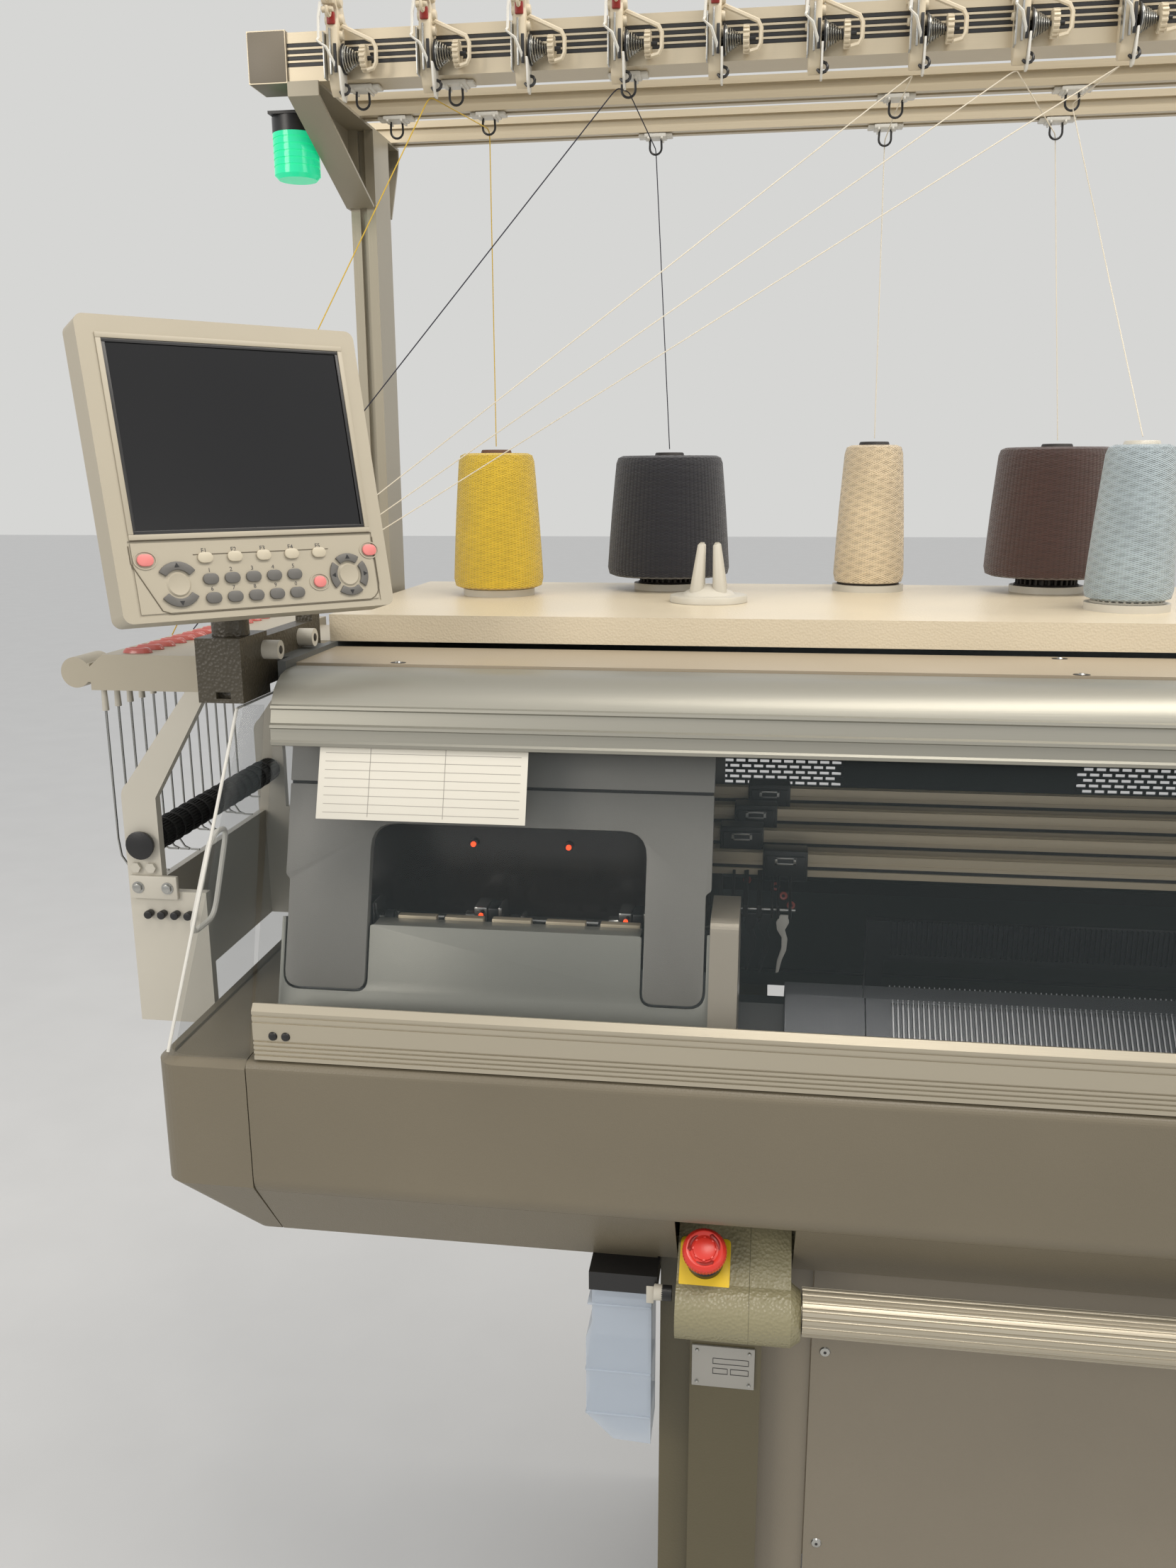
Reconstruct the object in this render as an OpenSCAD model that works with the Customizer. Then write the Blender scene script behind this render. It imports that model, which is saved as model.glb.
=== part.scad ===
// Flat knitting machine. X runs along the needle beds, Y from the operator to the back, Z up.
// Heights are above the floor and depths are from the gap between the beds, before seat() centres it all.

/* [Machine] */
// Length over the two end covers
machine_l = 2800; // [2500:10:3200]
// Width of one end cover
end_cover_w = 90; // [80:2:110]
// Front face of the covers, ahead of the bed gap
cover_front = 229; // [225:1:240]
// Front face of the rear panel, behind the bed gap
back_y = 460; // [456:1:464]
// Height of the lower edge of the covers' front face
cover_low_z = 905; // [895:1:915]
// Height of the top of the covers
cover_top_z = 1032; // [1029:1:1034]
// Sheet thickness of the painted covers
cover_wall = 3; // [2:0.5:4]

/* [Stands] */
// Distance between the centres of the two stands
stand_pitch = 1774; // [1600:2:2000]
// Width of one stand
stand_w = 98; // [80:2:120]
// Front face of the stands, ahead of the bed gap
stand_front = 169; // [160:1:180]
// Height of the top of the stands
stand_top_z = 850; // [845:1:855]
// Height of one levelling foot
foot_h = 60; // [45:1:80]
// Diameter of the pad of a levelling foot
foot_d = 84; // [70:2:100]
// Diameter of the screw of a levelling foot
foot_screw_d = 24; // [16:1:30]

/* [Kick panel] */
// Front face of the kick panel, ahead of the bed gap
kick_front = 149; // [140:1:155]
// Height of the lower edge of the kick panel
kick_low_z = 150; // [100:5:250]
// Height of the upper edge of the kick panel
kick_top_z = 822; // [800:2:824]
// Diameter of the panel screws' heads
panel_screw_d = 11; // [8:0.5:14]

/* [Needle beds] */
// Length of the needle field
bed_l = 1440; // [1200:10:1500]
// Pitch of the tricks that are drawn
trick_pitch = 5; // [4:0.5:10]
// Depth of the tricks
trick_depth = 4; // [3:0.5:5]
// Thickness of a needle bed
bed_t = 14; // [12:1:16]
// Length of a needle bed along its slope
bed_run = 150; // [130:2:155]
// Width of the gap between the beds' upper edges
bed_gap = 32; // [30:1:36]
// Height of the beds' upper edges
bed_z = 1035; // [1030:1:1040]
// Height of the comb bar over the rear bed
comb_h = 42; // [36:1:46]

/* [Carriage] */
// Width of the carriage arch
carriage_w = 404; // [390:2:420]
// Wall of the carriage arch
arch_wall = 10; // [8:1:12]
// Width of the aluminium side panel
side_panel_w = 26; // [20:1:30]
// Width of the window in the arch
arch_window_w = 262; // [240:2:280]
// Side of a stepping motor
motor_side = 28; // [24:1:32]
// Travel of the carriage
carriage_travel = 2160; // [2000:10:2165]

/* [Feeder rails] */
// Number of feeder rails
rail_count = 4; // [3:1:4]
// Height of one feeder rail
feeder_rail_h = 24; // [20:1:26]
// Thickness of one feeder rail
feeder_rail_t = 12; // [10:1:14]
// Width of the yarn feeder's slider
feeder_w = 46; // [40:1:60]

/* [Safety cover] */
// Thickness of the clear pane
pane_t = 5; // [3:0.5:6]
// Diameter of the hinge pin of the safety cover
cover_pin_d = 8; // [6:1:10]

/* [Cone table] */
// Height of the top of the table
table_z = 1405; // [1400:1:1415]
// Depth of the table
table_d = 412; // [400:2:430]
// Height of the table's edge
table_edge = 28; // [24:1:32]
// Diameter of a cone holder's base
holder_d = 86; // [76:2:96]
// Height of the fingers of a cone holder
holder_h = 66; // [50:2:76]

/* [Creel] */
// Width of a creel post
post_w = 30; // [28:1:34]
// Depth of a creel post
post_d = 60; // [50:2:70]
// Height of the underside of the creel's rails
creel_z = 1938; // [1900:2:2000]
// Height of the tension rail
tension_rail_h = 46; // [40:1:50]
// Depth of the tension rail
tension_rail_d = 40; // [36:1:44]
// Height of an eyelet rail
eyelet_rail_h = 23; // [20:1:30]
// Depth of an eyelet rail
eyelet_rail_d = 25; // [20:1:30]
// Pitch of the tension units
unit_pitch = 95; // [90:1:110]
// Number of tension units
unit_count = 28; // [20:1:28]

/* [Signal lamp] */
// Diameter of the lamp
lamp_d = 50; // [44:1:60]
// Height of the lens
lens_h = 46; // [40:1:60]

/* [Operating bar] */
// Diameter of the bar
bar_d = 42; // [38:1:44]
// Height of the bar's axis
bar_z = 816; // [812:1:820]
// Axis of the bar, ahead of the bed gap
bar_front = 219; // [216:1:222]
// Diameter of the bar's journals
journal_d = 20; // [16:1:24]
// Diameter of the mushroom head of the emergency stop
stop_d = 40; // [36:1:44]
// Slope of the face that carries the emergency stop
stop_slope = 38; // [30:1:42]
// Diameter of the emergency stop's stem
stop_stem_d = 24; // [20:1:26]

/* [Screen] */
// Width of the screen's housing
screen_w = 250; // [240:2:280]
// Height of the screen's housing
screen_h = 250; // [240:2:280]
// Thickness of the screen's housing
screen_t = 38; // [30:1:42]
// Width of the display
display_w = 212; // [200:1:220]
// Height of the display
display_h = 159; // [150:1:165]
// Angle to which the screen is swivelled
screen_yaw = 47; // [30:1:60]
// Angle by which the screen leans back
screen_tilt = 13; // [5:1:20]
// Diameter of the swivel neck
neck_d = 34; // [28:1:38]

/* [Side tension] */
// Length of the side tension housing along Y
side_l = 345; // [300:5:400]
// Width of the side tension housing
side_w = 118; // [100:2:130]
// Number of yarns that the side tension guides
yarn_count = 13; // [8:1:16]
// Diameter of the feed roller
feed_roller_d = 29; // [24:1:34]

/* [Oil bottle] */
// Width of the bottle
bottle_w = 62; // [50:2:70]
// Height of the bottle
bottle_h = 164; // [140:2:180]

/* [Take-down] */
// Diameter of the take-down rollers
take_down_d = 40; // [36:1:44]
// Height of the take-down rollers' axes
take_down_z = 800; // [790:1:805]

/* [Hidden] */
$fn = 32;
slit = 0.3;      // running clearance between separate pieces
nudge = 0.05;    // radial clearance of a pin in its bore

half_l = machine_l / 2;
left = -half_l;                     // left end of the machine
seam_x = half_l - end_cover_w;
frame_t = 8;                       // thickness of an end frame
inner_x = seam_x - frame_t;        // inner face of the end frames
cover_x = inner_x - 1;             // half length of the safety cover
front_y = -cover_front;
table_y = 59;                      // front edge of the table
table_back = table_y + table_d;
table_low = table_z - table_edge;
stand_x = stand_pitch / 2;
stand_y = -stand_front;
stand_back = back_y + 5;
side_in = half_l - 15;             // inner edge of the side tension housing
side_out = side_in + side_w;
shaft_d = 30;                      // round end of the side tension housing
screen_front = 57;                 // from the swivel axis to the front of the screen
screen_x = -seam_x - 32;
screen_y = -118;
screen_z = 1540;                   // height of the screen's tilt axis
screen_round = 8;
front_reach = screen_front * cos(screen_tilt) * cos(screen_yaw) - screen_y
    + (screen_w / 2 - screen_round) * sin(screen_yaw)
    + (screen_h / 2 - screen_round) * sin(screen_tilt) * cos(screen_yaw)
    + screen_round * norm([sin(screen_yaw), sin(screen_tilt) * cos(screen_yaw)]);
seat_x = (half_l - side_out - shaft_d) / 2;
seat_y = (table_back - front_reach) / 2;

function arc(c, r, a0, a1, n = 6) =
    [for (i = [0:n]) c + r * [cos(a0 + (a1 - a0) * i / n), sin(a0 + (a1 - a0) * i / n)]];
function unit(v) = v / norm(v);
function left_of(a, b) = let (d = unit(b - a)) [-d[1], d[0]];
function shifted(p, t) = [for (i = [0:len(p) - 1])
    let (last = len(p) - 1,
        before = left_of(p[max(i - 1, 0)], p[max(i, 1)]),
        after = left_of(p[min(i, last - 1)], p[min(i + 1, last)]))
    p[i] + t * (before + after) / (1 + before * after)];
function backwards(p) = [for (i = [len(p) - 1:-1:0]) p[i]];
function spread(n, pitch) = [for (i = [0:n - 1]) (i - (n - 1) / 2) * pitch];

// Puts the origin on the floor under the middle of the whole machine
module seat() translate([-seat_x, -seat_y, 0]) children();
// Runs a Y-Z outline along X
module run_x(x0, x1) translate([x0, 0, 0]) rotate([90, 0, 90]) linear_extrude(x1 - x0) children();
// Runs an X-Z outline along Y
module run_y(y0, y1) translate([0, y1, 0]) rotate([90, 0, 0]) linear_extrude(y1 - y0) children();
// A folded sheet whose outer face follows an open path
module sheet(path, wall) polygon(concat(path, backwards(shifted(path, wall))));
module both() {
    children();
    mirror([1, 0, 0]) children();
}
module block(lo, hi) translate(lo) cube(hi - lo);
module rod(a, b, d, n = 16) {
    v = b - a;
    translate(a) rotate([0, acos(v[2] / norm(v)), atan2(v[1], v[0])]) rotate(33)
        cylinder(d = d, h = norm(v), $fn = n);
}
// Round wire through points, with a bead at each bend
module wire(p, d, bead = 1.3) {
    for (i = [0:len(p) - 2]) rod(p[i], p[i + 1], d);
    for (i = [1:len(p) - 2]) translate(p[i]) sphere(d = d * bead, $fn = 16);
}
module pin_x(x0, x1, y, z, d) translate([x0, y, z]) rotate([0, 90, 0]) cylinder(d = d, h = x1 - x0);
module pin_y(y0, y1, x, z, d) translate([x, y0, z]) rotate([-90, 0, 0]) cylinder(d = d, h = y1 - y0);

// Stands and cross beams
beam_low_z = 100;
beam_h = 80;
module stand() difference() {
    block([-stand_x - stand_w / 2, stand_y, foot_h], [-stand_x + stand_w / 2, stand_back, stand_top_z]);
    block([-stand_x - stand_w, stand_y + 100, foot_h + 90],
        [-stand_x + stand_w, stand_back - 100, stand_top_z - 90]);
    block([-stand_x - stand_w, stand_y - 1, foot_h + 20],
        [-stand_x - stand_w / 2 + 30, stand_y + 12, stand_top_z - 20]);
}
module machine_frame() color("darkkhaki") seat() {
    both() stand();
    for (y = [kick_back + 2, stand_back - 80])
        block([-stand_x + stand_w / 2, y, beam_low_z], [stand_x - stand_w / 2, y + 50, beam_low_z + beam_h]);
}
module levelling_feet() color("dimgray") seat()
    for (x = [-stand_x, stand_x], y = [stand_y + 50, stand_back - 50]) translate([x, y, 0]) {
        cylinder(d = foot_d, h = 14);
        cylinder(d = foot_screw_d, h = foot_h);
        translate([0, 0, 24]) cylinder(d = foot_screw_d * 1.8, h = 12, $fn = 6);
    }

// Beam that carries the beds, with a slot for the fabric and lugs for the rollers
seat_step = bed_gap / 2 - bed_t * cos(45);
slot_half = seat_step + 4;
bed_foot_z = bed_z - (bed_t + bed_run) * sin(45);
module half_beam() polygon([[-slot_half, bed_z - bed_t * sin(45) - 4],
    [-seat_step - bed_run * cos(45), bed_foot_z], [stand_y + 20, bed_foot_z],
    [stand_y + 20, stand_top_z], [-slot_half, stand_top_z]]);
lug_x = bed_l / 2 + 6;
roller_y = take_down_d / 2 + slit / 2;
roller_pin_d = 12;
module bed_beam() color("gray") seat() difference() {
    union() {
        run_x(-inner_x, inner_x) {
            half_beam();
            mirror([1, 0]) half_beam();
        }
        both() block([-inner_x, stand_y + 20, stand_top_z], [-lug_x - 60, -stand_y - 20, stand_top_z + 60]);
        both() block([-lug_x - 16, -take_down_d, take_down_z - 24], [-lug_x, take_down_d, stand_top_z]);
    }
    for (y = [-roller_y, roller_y]) pin_x(-lug_x - 20, lug_x + 20, y, take_down_z, roller_pin_d + 2 * nudge);
}
module take_down(y) pin_x(-lug_x + 1, lug_x - 1, y, take_down_z, take_down_d);
module take_down_pin(y) pin_x(-lug_x - 12, lug_x + 12, y, take_down_z, roller_pin_d);
module take_down_roller() color("dimgray") seat() {
    take_down(roller_y);
    take_down_pin(roller_y);
}
module pressure_roller() color("black") seat() {
    take_down(-roller_y);
    take_down_pin(-roller_y);
}

// Side plates that carry the table, the rails, the creel and the safety cover
cover_pin_y = -76;
cover_pin_z = 1361;
post_in = seam_x + 12;
post_y = 328;
belt_y = 290;
belt_z = 1060;
pulley_x = inner_x - 60;
pulley_d = 60;
pulley_pin_d = 12;
module end_frames() color("gray") seat() both() difference() {
    union() {
        run_x(-seam_x, -inner_x) polygon([[stand_y + 30, stand_top_z], [stand_y + 30, cover_low_z + 35], [-60, cover_top_z + 8],
            [-60, cover_pin_z - 61], [cover_pin_y - 14, cover_pin_z - 21], [cover_pin_y - 14, table_low],
            [back_y, table_low], [back_y, stand_top_z]]);
        block([-post_in, post_y - 8, 1100], [-seam_x, post_y + post_d + 8, table_low - 6]);
        block([-post_in, -60, table_low - 30], [-seam_x, 40, table_low]);
        block([-inner_x, belt_y - 40, belt_z - 40], [-pulley_x + 30, belt_y + 40, belt_z - 34]);
    }
    run_x(-seam_x - 1, -inner_x + 1) polygon([[180, 890], [180, 960], [220, 1006], [410, 1006], [410, 890]]);
    pin_x(-seam_x - 1, -inner_x + 1, cover_pin_y, cover_pin_z, cover_pin_d + 2 * nudge);
    translate([-pulley_x, belt_y, belt_z - 50]) cylinder(d = pulley_pin_d + 2 * nudge, h = 30);
}

// Carriage drive
belt_h = 16;
belt_t = 2;
module pulley(x) translate([x, belt_y, 0]) {
    translate([0, 0, belt_z - belt_h / 2 - 3]) cylinder(d = pulley_d + 8, h = 3);
    translate([0, 0, belt_z - belt_h / 2]) cylinder(d = pulley_d, h = belt_h);
    translate([0, 0, belt_z + belt_h / 2]) cylinder(d = pulley_d + 8, h = 3);
    translate([0, 0, belt_z - 46]) cylinder(d = pulley_pin_d, h = 40);
}
module drive_pulley() color("silver") seat() pulley(pulley_x);
module idler_pulley() color("silver") seat() pulley(-pulley_x);
module belt_loop(r) {
    square([2 * pulley_x, 2 * r], center = true);
    for (s = [-1, 1]) translate([s * pulley_x, 0]) circle(r = r, $fn = 64);
}
module drive_belt() color("black") seat() translate([0, belt_y, belt_z - belt_h / 2 + slit])
    linear_extrude(belt_h - 2 * slit) difference() {
        belt_loop(pulley_d / 2 + slit + belt_t);
        belt_loop(pulley_d / 2 + slit);
    }

// Panels below the beds
kick_back = -kick_front + cover_wall;
kick_half = stand_x - stand_w / 2 - 48;
screw_rows = [kick_top_z - 99, kick_top_z - 322, kick_low_z + 40];
module kick_panel() color("tan") seat() difference() {
    union() {
        block([-kick_half, -kick_front, kick_low_z], [kick_half, kick_back, kick_top_z]);
        for (z = [kick_low_z, kick_top_z - 20])
            block([-kick_half, kick_back, z], [kick_half, kick_back + 2, z + 20]);
        both() block([-stand_x + stand_w / 2, -kick_front + 4, kick_low_z],
            [-kick_half - 1, kick_back + 2, kick_top_z]);
    }
    both() for (z = screw_rows) pin_y(-kick_front - 1, kick_back + 3, -kick_half + 13, z, panel_screw_d / 2);
}
cabinet_y = 160;
module cabinet_box(in) block([-stand_x + stand_w / 2 + 10 + in, cabinet_y + in, beam_low_z + beam_h + in],
    [stand_x - stand_w / 2 - 10 - in, stand_back - 2 - in, stand_top_z - 60 - in]);
module control_cabinet() color("tan") seat() difference() {
    cabinet_box(0);
    cabinet_box(cover_wall);
}

// Slotted wall behind the beds, up to the table
slot_fields = [-1093, -447, 107, 753];
slot_pitch = 34;
slot_row = 15;
slot_low = 1128;
module rear_panel() color("slategray") seat() difference() {
    union() {
        block([-seam_x, back_y, stand_top_z], [seam_x, back_y + cover_wall, table_low]);
        for (z = [stand_top_z, table_low - 20])
            block([-inner_x, back_y - 12, z], [inner_x, back_y, z + 20]);
    }
    for (x0 = slot_fields, i = [0:9], j = [0:6])
        translate([x0 + slot_pitch * (i + (j % 2) / 2), back_y - 1, slot_low + slot_row * j])
            cube([slot_pitch * 0.74, cover_wall + 2, slot_row * 0.47]);
}

// Covers
cover_round = 8;
low_round = 25;
bevel = 60;
bevel_low_z = cover_low_z - 80;
cover_path = concat([[front_y + 60, cover_top_z]],
    arc([front_y + cover_round, cover_top_z - cover_round], cover_round, 90, 180),
    arc([front_y + low_round, cover_low_z + 10], low_round, 180, 215));
bevel_top = cover_path[len(cover_path) - 1];
bevel_end = [front_y + bevel, bevel_low_z];
bevel_path = [bevel_top + slit * unit(bevel_end - bevel_top), bevel_end, bevel_end + [50, 0]];
module front_cover() color("tan") seat() {
    strips = [[-seam_x + 1, -bracket_out - 2], [-bracket_in + 2, bracket_in - 2], [bracket_out + 2, seam_x - 1]];
    run_x(-seam_x + 1, seam_x - 1) sheet(cover_path, cover_wall);
    difference() {
        for (x = strips) run_x(x[0], x[1]) sheet(bevel_path, cover_wall);
        both() block([-stand_x - stand_w / 2 - 2, stand_y - 2, bevel_low_z - 1],
            [-stand_x + stand_w / 2 + 2, 0, bevel_low_z + cover_wall + 2]);
    }
    for (x = spread(3, 1200))
        block([x - 15, front_y + cover_wall, cover_low_z], [x + 15, stand_y + 20, cover_low_z + 6]);
}
end_depth = back_y - front_y;
module end_slab(in, z, h) {
    r = min(low_round, (end_cover_w - in) / 2);
    translate([seam_x, front_y + in, z]) linear_extrude(h) hull() {
        square([1, end_depth - 2 * in]);
        for (y = [r, end_depth - 2 * in - r]) translate([end_cover_w - in - r, y]) circle(r);
    }
}
module end_shell(wall) hull() {
    end_slab(cover_round + wall, cover_top_z - 0.5 - wall, 0.5);
    end_slab(wall, cover_top_z - cover_round, 0.5);
    end_slab(wall, cover_low_z, 0.5);
    end_slab(bevel + wall / 2, bevel_low_z + wall, 0.5);
}
module end_cover() difference() {
    end_shell(0);
    translate([-0.5, 0, 0]) end_shell(cover_wall);
}
module left_end_cover() color("tan") seat() mirror([1, 0, 0]) end_cover();
module right_end_cover() color("tan") seat() end_cover();

// Clear guards at the two ends: a slanted side and a return to the pane
guard_t = 4;
guard_back = 70;
guard_top = 1342;
module guard_bar(x, y0, y1, z) block([x - guard_t, y0, z], [x, y1, z + 1]);
module side_windows() color("lightblue", 0.4) seat() both() {
    low_x = half_l - 15;
    top_x = seam_x + 22;
    low_y = front_y + 5;
    top_y = front_y + 92;
    low_z = cover_top_z;
    hull() {
        guard_bar(low_x, low_y, guard_back, low_z);
        guard_bar(top_x, top_y, guard_back, guard_top);
    }
    hull() {
        block([seam_x - 2, low_y, low_z], [low_x, low_y + guard_t, low_z + 1]);
        block([seam_x - 2, top_y, guard_top], [top_x, top_y + guard_t, guard_top + 1]);
    }
}

// Needle beds and comb
teeth = floor(bed_l / trick_pitch);
bed_end = 24;
end_plate = 80;
module bed_strip(x0, x1) run_x(x0, x1) translate([-bed_gap / 2, bed_z]) rotate(225) square([bed_run, bed_t]);
module needle_bed() difference() {
    union() {
        bed_strip(-bed_l / 2 - bed_end, bed_l / 2 + bed_end);
        both() bed_strip(-bed_l / 2 - bed_end - end_plate, -bed_l / 2 - bed_end - 1);
    }
    translate([0, -bed_gap / 2, bed_z]) rotate([45, 0, 0]) run_y(-bed_run + 10, -4)
        for (x = spread(teeth, trick_pitch))
            translate([x - trick_pitch / 4, -trick_depth]) square([trick_pitch / 2, trick_depth + 1]);
}
module front_needle_bed() color("silver") seat() needle_bed();
module rear_needle_bed() color("silver") seat() mirror([0, 1, 0]) needle_bed();
comb_y = 30;
comb_t = 8;
comb_low = bed_z + 24;
comb_top = comb_low + comb_h;
comb_foot_z = bed_z + bed_gap / 2 - comb_y;
module sinker_comb() color("silver") seat() {
    difference() {
        block([-bed_l / 2 - 4, comb_y, comb_low], [bed_l / 2 + 4, comb_y + comb_t, comb_top]);
        for (x = spread(teeth, trick_pitch))
            block([x - trick_pitch / 4, comb_y - 1, comb_low + 6], [x + trick_pitch / 4, comb_y + 3, comb_top + 1]);
    }
    both() run_x(-bed_l / 2 - bed_end + 2, -bed_l / 2 - 4) polygon([[comb_y, comb_foot_z],
        [comb_y + 12, comb_foot_z - 12], [comb_y + 12, comb_top], [comb_y, comb_top]]);
}

// Feeder rails between the end frames, with the feeders that stay parked
rail_places = [for (i = [0:rail_count - 1]) [59 + 34 * i, 1150 + 15 * i]];
feeder_wall = 4;
park_x = -seam_x + 10 + carriage_w;
foot_z = comb_top + 8;
module feeder_rails() color("gainsboro") seat() {
    for (p = rail_places) run_x(-inner_x, inner_x) translate(p) difference() {
        square([feeder_rail_t, feeder_rail_h], center = true);
        for (s = [-1, 1]) translate([s * feeder_rail_t / 2, 0]) square([4, 8], center = true);
    }
    for (i = [1:rail_count - 1]) translate([park_x + 14 * (i - 1), 0, 0]) feeder(rail_places[i], 0);
}
module slider_ring(p, clear) translate(p) difference() {
    square([feeder_rail_t + 2 * feeder_wall, feeder_rail_h + 2 * feeder_wall], center = true);
    square([feeder_rail_t + 2 * clear, feeder_rail_h + 2 * clear], center = true);
}
module feeder(p, clear) {
    y = p[0] - feeder_rail_t / 2 - feeder_wall;
    run_x(0, feeder_w) slider_ring(p, clear);
    run_x(feeder_w / 2 - 8, feeder_w / 2 + 8) polygon([[y, p[1]], [y, foot_z + 9], [4, foot_z + 6],
        [4, foot_z], [y + 3, foot_z + 3], [y + 3, p[1]]]);
    run_x(feeder_w / 2 - 2, feeder_w / 2 + 2) polygon([[5, foot_z + 4], [1, bed_z + 14], [4, bed_z + 12], [13, foot_z + 4]]);
}
module yarn_feeder() color("dimgray") seat() translate([park_x + feeder_w, 0, 0]) feeder(rail_places[0], slit);

// Beige beam in front of the table, and the table
module trim_beam() color("tan") seat()
    run_x(-inner_x, inner_x) sheet([[table_y - 4, table_low - 15], [table_y - 4, table_low - 5],
        [-63, table_low - 5], [-63, table_low - 15]], cover_wall);
table_wall = 3;
module cone_table() color("tan") seat() difference() {
    block([-seam_x, table_y, table_low], [seam_x, table_back, table_z]);
    block([-seam_x + table_wall, table_y + table_wall, table_low - 1],
        [seam_x - table_wall, table_back - table_wall, table_z - table_wall]);
}

// Cones of yarn on finger holders: x, y, top and bottom diameter, foot and top of the yarn
disc_h = 8;
cone_row = table_back - 77;
front_yarns = [[left + 223, 296, 88, 109, 1414, 1571], [left + 923, 186, 67, 90, 1416, 1574]];
rear_yarns = [[left + 421, cone_row, 130, 154, 1422, 1568], [left + 669, cone_row, 68, 86, 1414, 1579],
    [left + 882, cone_row, 130, 150, 1424, 1575]];
spare_holder = [left + 480, 231];
tube_foot = 30;
tube_top = 17;
module cone(c) translate([c[0], c[1], table_z + disc_h]) difference() {
    tube_h = c[5] - table_z - disc_h + 6;
    union() {
        translate([0, 0, c[4] - table_z - disc_h]) cylinder(d1 = c[3], d2 = c[2], h = c[5] - c[4]);
        cylinder(r1 = tube_foot, r2 = tube_top, h = tube_h);
    }
    translate([0, 0, -0.01]) cylinder(r1 = tube_foot - 3, r2 = tube_top - 3, h = tube_h + 0.02);
}
module holder(c) translate([c[0], c[1], table_z]) {
    cylinder(d = holder_d, h = disc_h);
    for (a = [45:90:315]) rotate([0, 0, a]) run_y(-1.5, 1.5)
        polygon([[7, disc_h - 2], [22, disc_h - 2], [14, holder_h], [10, holder_h]]);
}
module cone_holders() color("silver") seat() {
    for (c = concat(front_yarns, rear_yarns)) holder(c);
    holder(spare_holder);
}
module front_cones() color("khaki") seat() for (c = front_yarns) cone(c);
module rear_cones() color("navy") seat() for (c = rear_yarns) cone(c);

// Creel: posts, arms, the tension rail and two eyelet rails
post_low = cover_top_z + 4;
arm_wall = 3;
arm_h = 88;
post_out = post_in + post_w;
arm_out = post_out + arm_wall;
rail_y = 149;                      // front face of the tension rail
rail_2 = rail_y + 132;
rail_3 = rail_2 + 122;
arm_back = rail_3 + eyelet_rail_d + 7;
arm_tip = creel_z - 14;
module creel_posts() color("silver") seat() both() difference() {
    block([-post_out, post_y, post_low], [-post_in, post_y + post_d, creel_z - arm_wall]);
    for (y = [post_y + post_d / 4, post_y + post_d * 3 / 4])
        block([-post_out - 1, y - 4, post_low - 1], [-post_out + 6, y + 4, creel_z]);
    block([-post_in - post_w / 2 - 4, post_y - 1, post_low - 1], [-post_in - post_w / 2 + 4, post_y + 6, creel_z]);
}
module creel_arms() color("silver") seat() both() {
    tip = [rail_y - 4, arm_tip];
    foot = [post_y - 7, creel_z - arm_h];
    run_x(-arm_out, -post_out) polygon([[rail_y - 4, creel_z], tip, foot,
        [post_y + post_d + 7, creel_z - arm_h], [arm_back, arm_tip], [arm_back, creel_z]]);
    run_x(-arm_out, -post_in) sheet([[arm_back, creel_z], [rail_y - 4, creel_z], tip, foot], arm_wall);
    run_x(-arm_out, -post_in) sheet([[post_y + post_d + 7, creel_z - arm_h],
        [arm_back, arm_tip], [arm_back, creel_z]], arm_wall);
}
cap_l = 41;
module tension_rail() color("silver") seat() {
    run_x(-arm_out, arm_out) difference() {
        translate([rail_y, creel_z]) square([tension_rail_d, tension_rail_h]);
        for (z = [14:6:32]) translate([rail_y - 1, creel_z + z]) square([3, 4]);
        translate([rail_y + tension_rail_d - 6, creel_z + tension_rail_h / 2 - 5]) square([7, 10]);
        translate([rail_y + 6, creel_z + 6]) square([tension_rail_d - 16, tension_rail_h - 12]);
    }
    both() block([-arm_out - cap_l, rail_y - 3, creel_z - 1],
        [-arm_out, rail_y + tension_rail_d + 3, creel_z + tension_rail_h + 2]);
}
eyelet_slot = 5;
module eyelet_rails() color("silver") seat() for (y = [rail_2, rail_3])
    run_x(-arm_out, arm_out) translate([y, creel_z]) difference() {
        square([eyelet_rail_d, eyelet_rail_h]);
        translate([-1, eyelet_rail_h / 2 - 4]) square([6, 8]);
        translate([eyelet_rail_d / 2 - 4, -1]) square([8, 1 + eyelet_slot]);
    }
eye_r = 7;
eye_z = creel_z - 16;
rail_eyes = [[left + 116, rail_y + 24], [left + 215, rail_y + 24], [left + 393, rail_y + 24],
    [left + 117, rail_2 + 12], [left + 223, rail_2 + 12], [left + 667, rail_2 + 12], [left + 848, rail_2 + 12],
    [left + 399, rail_3 + 12], [left + 666, rail_3 + 12], [left + 857, rail_3 + 12]];
module yarn_eyelets() color("dimgray") seat() for (e = rail_eyes) translate([e[0], e[1], 0]) {
    translate([0, 0, eye_z]) rotate([90, 0, 0]) rotate_extrude() translate([eye_r, 0]) circle(d = 2.5, $fn = 16);
    stem_top = e[1] < rail_2 ? creel_z : creel_z + eyelet_slot;
    translate([0, 0, eye_z + eye_r]) cylinder(d = 2.5, h = stem_top - eye_z - eye_r, $fn = 16);
}

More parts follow.
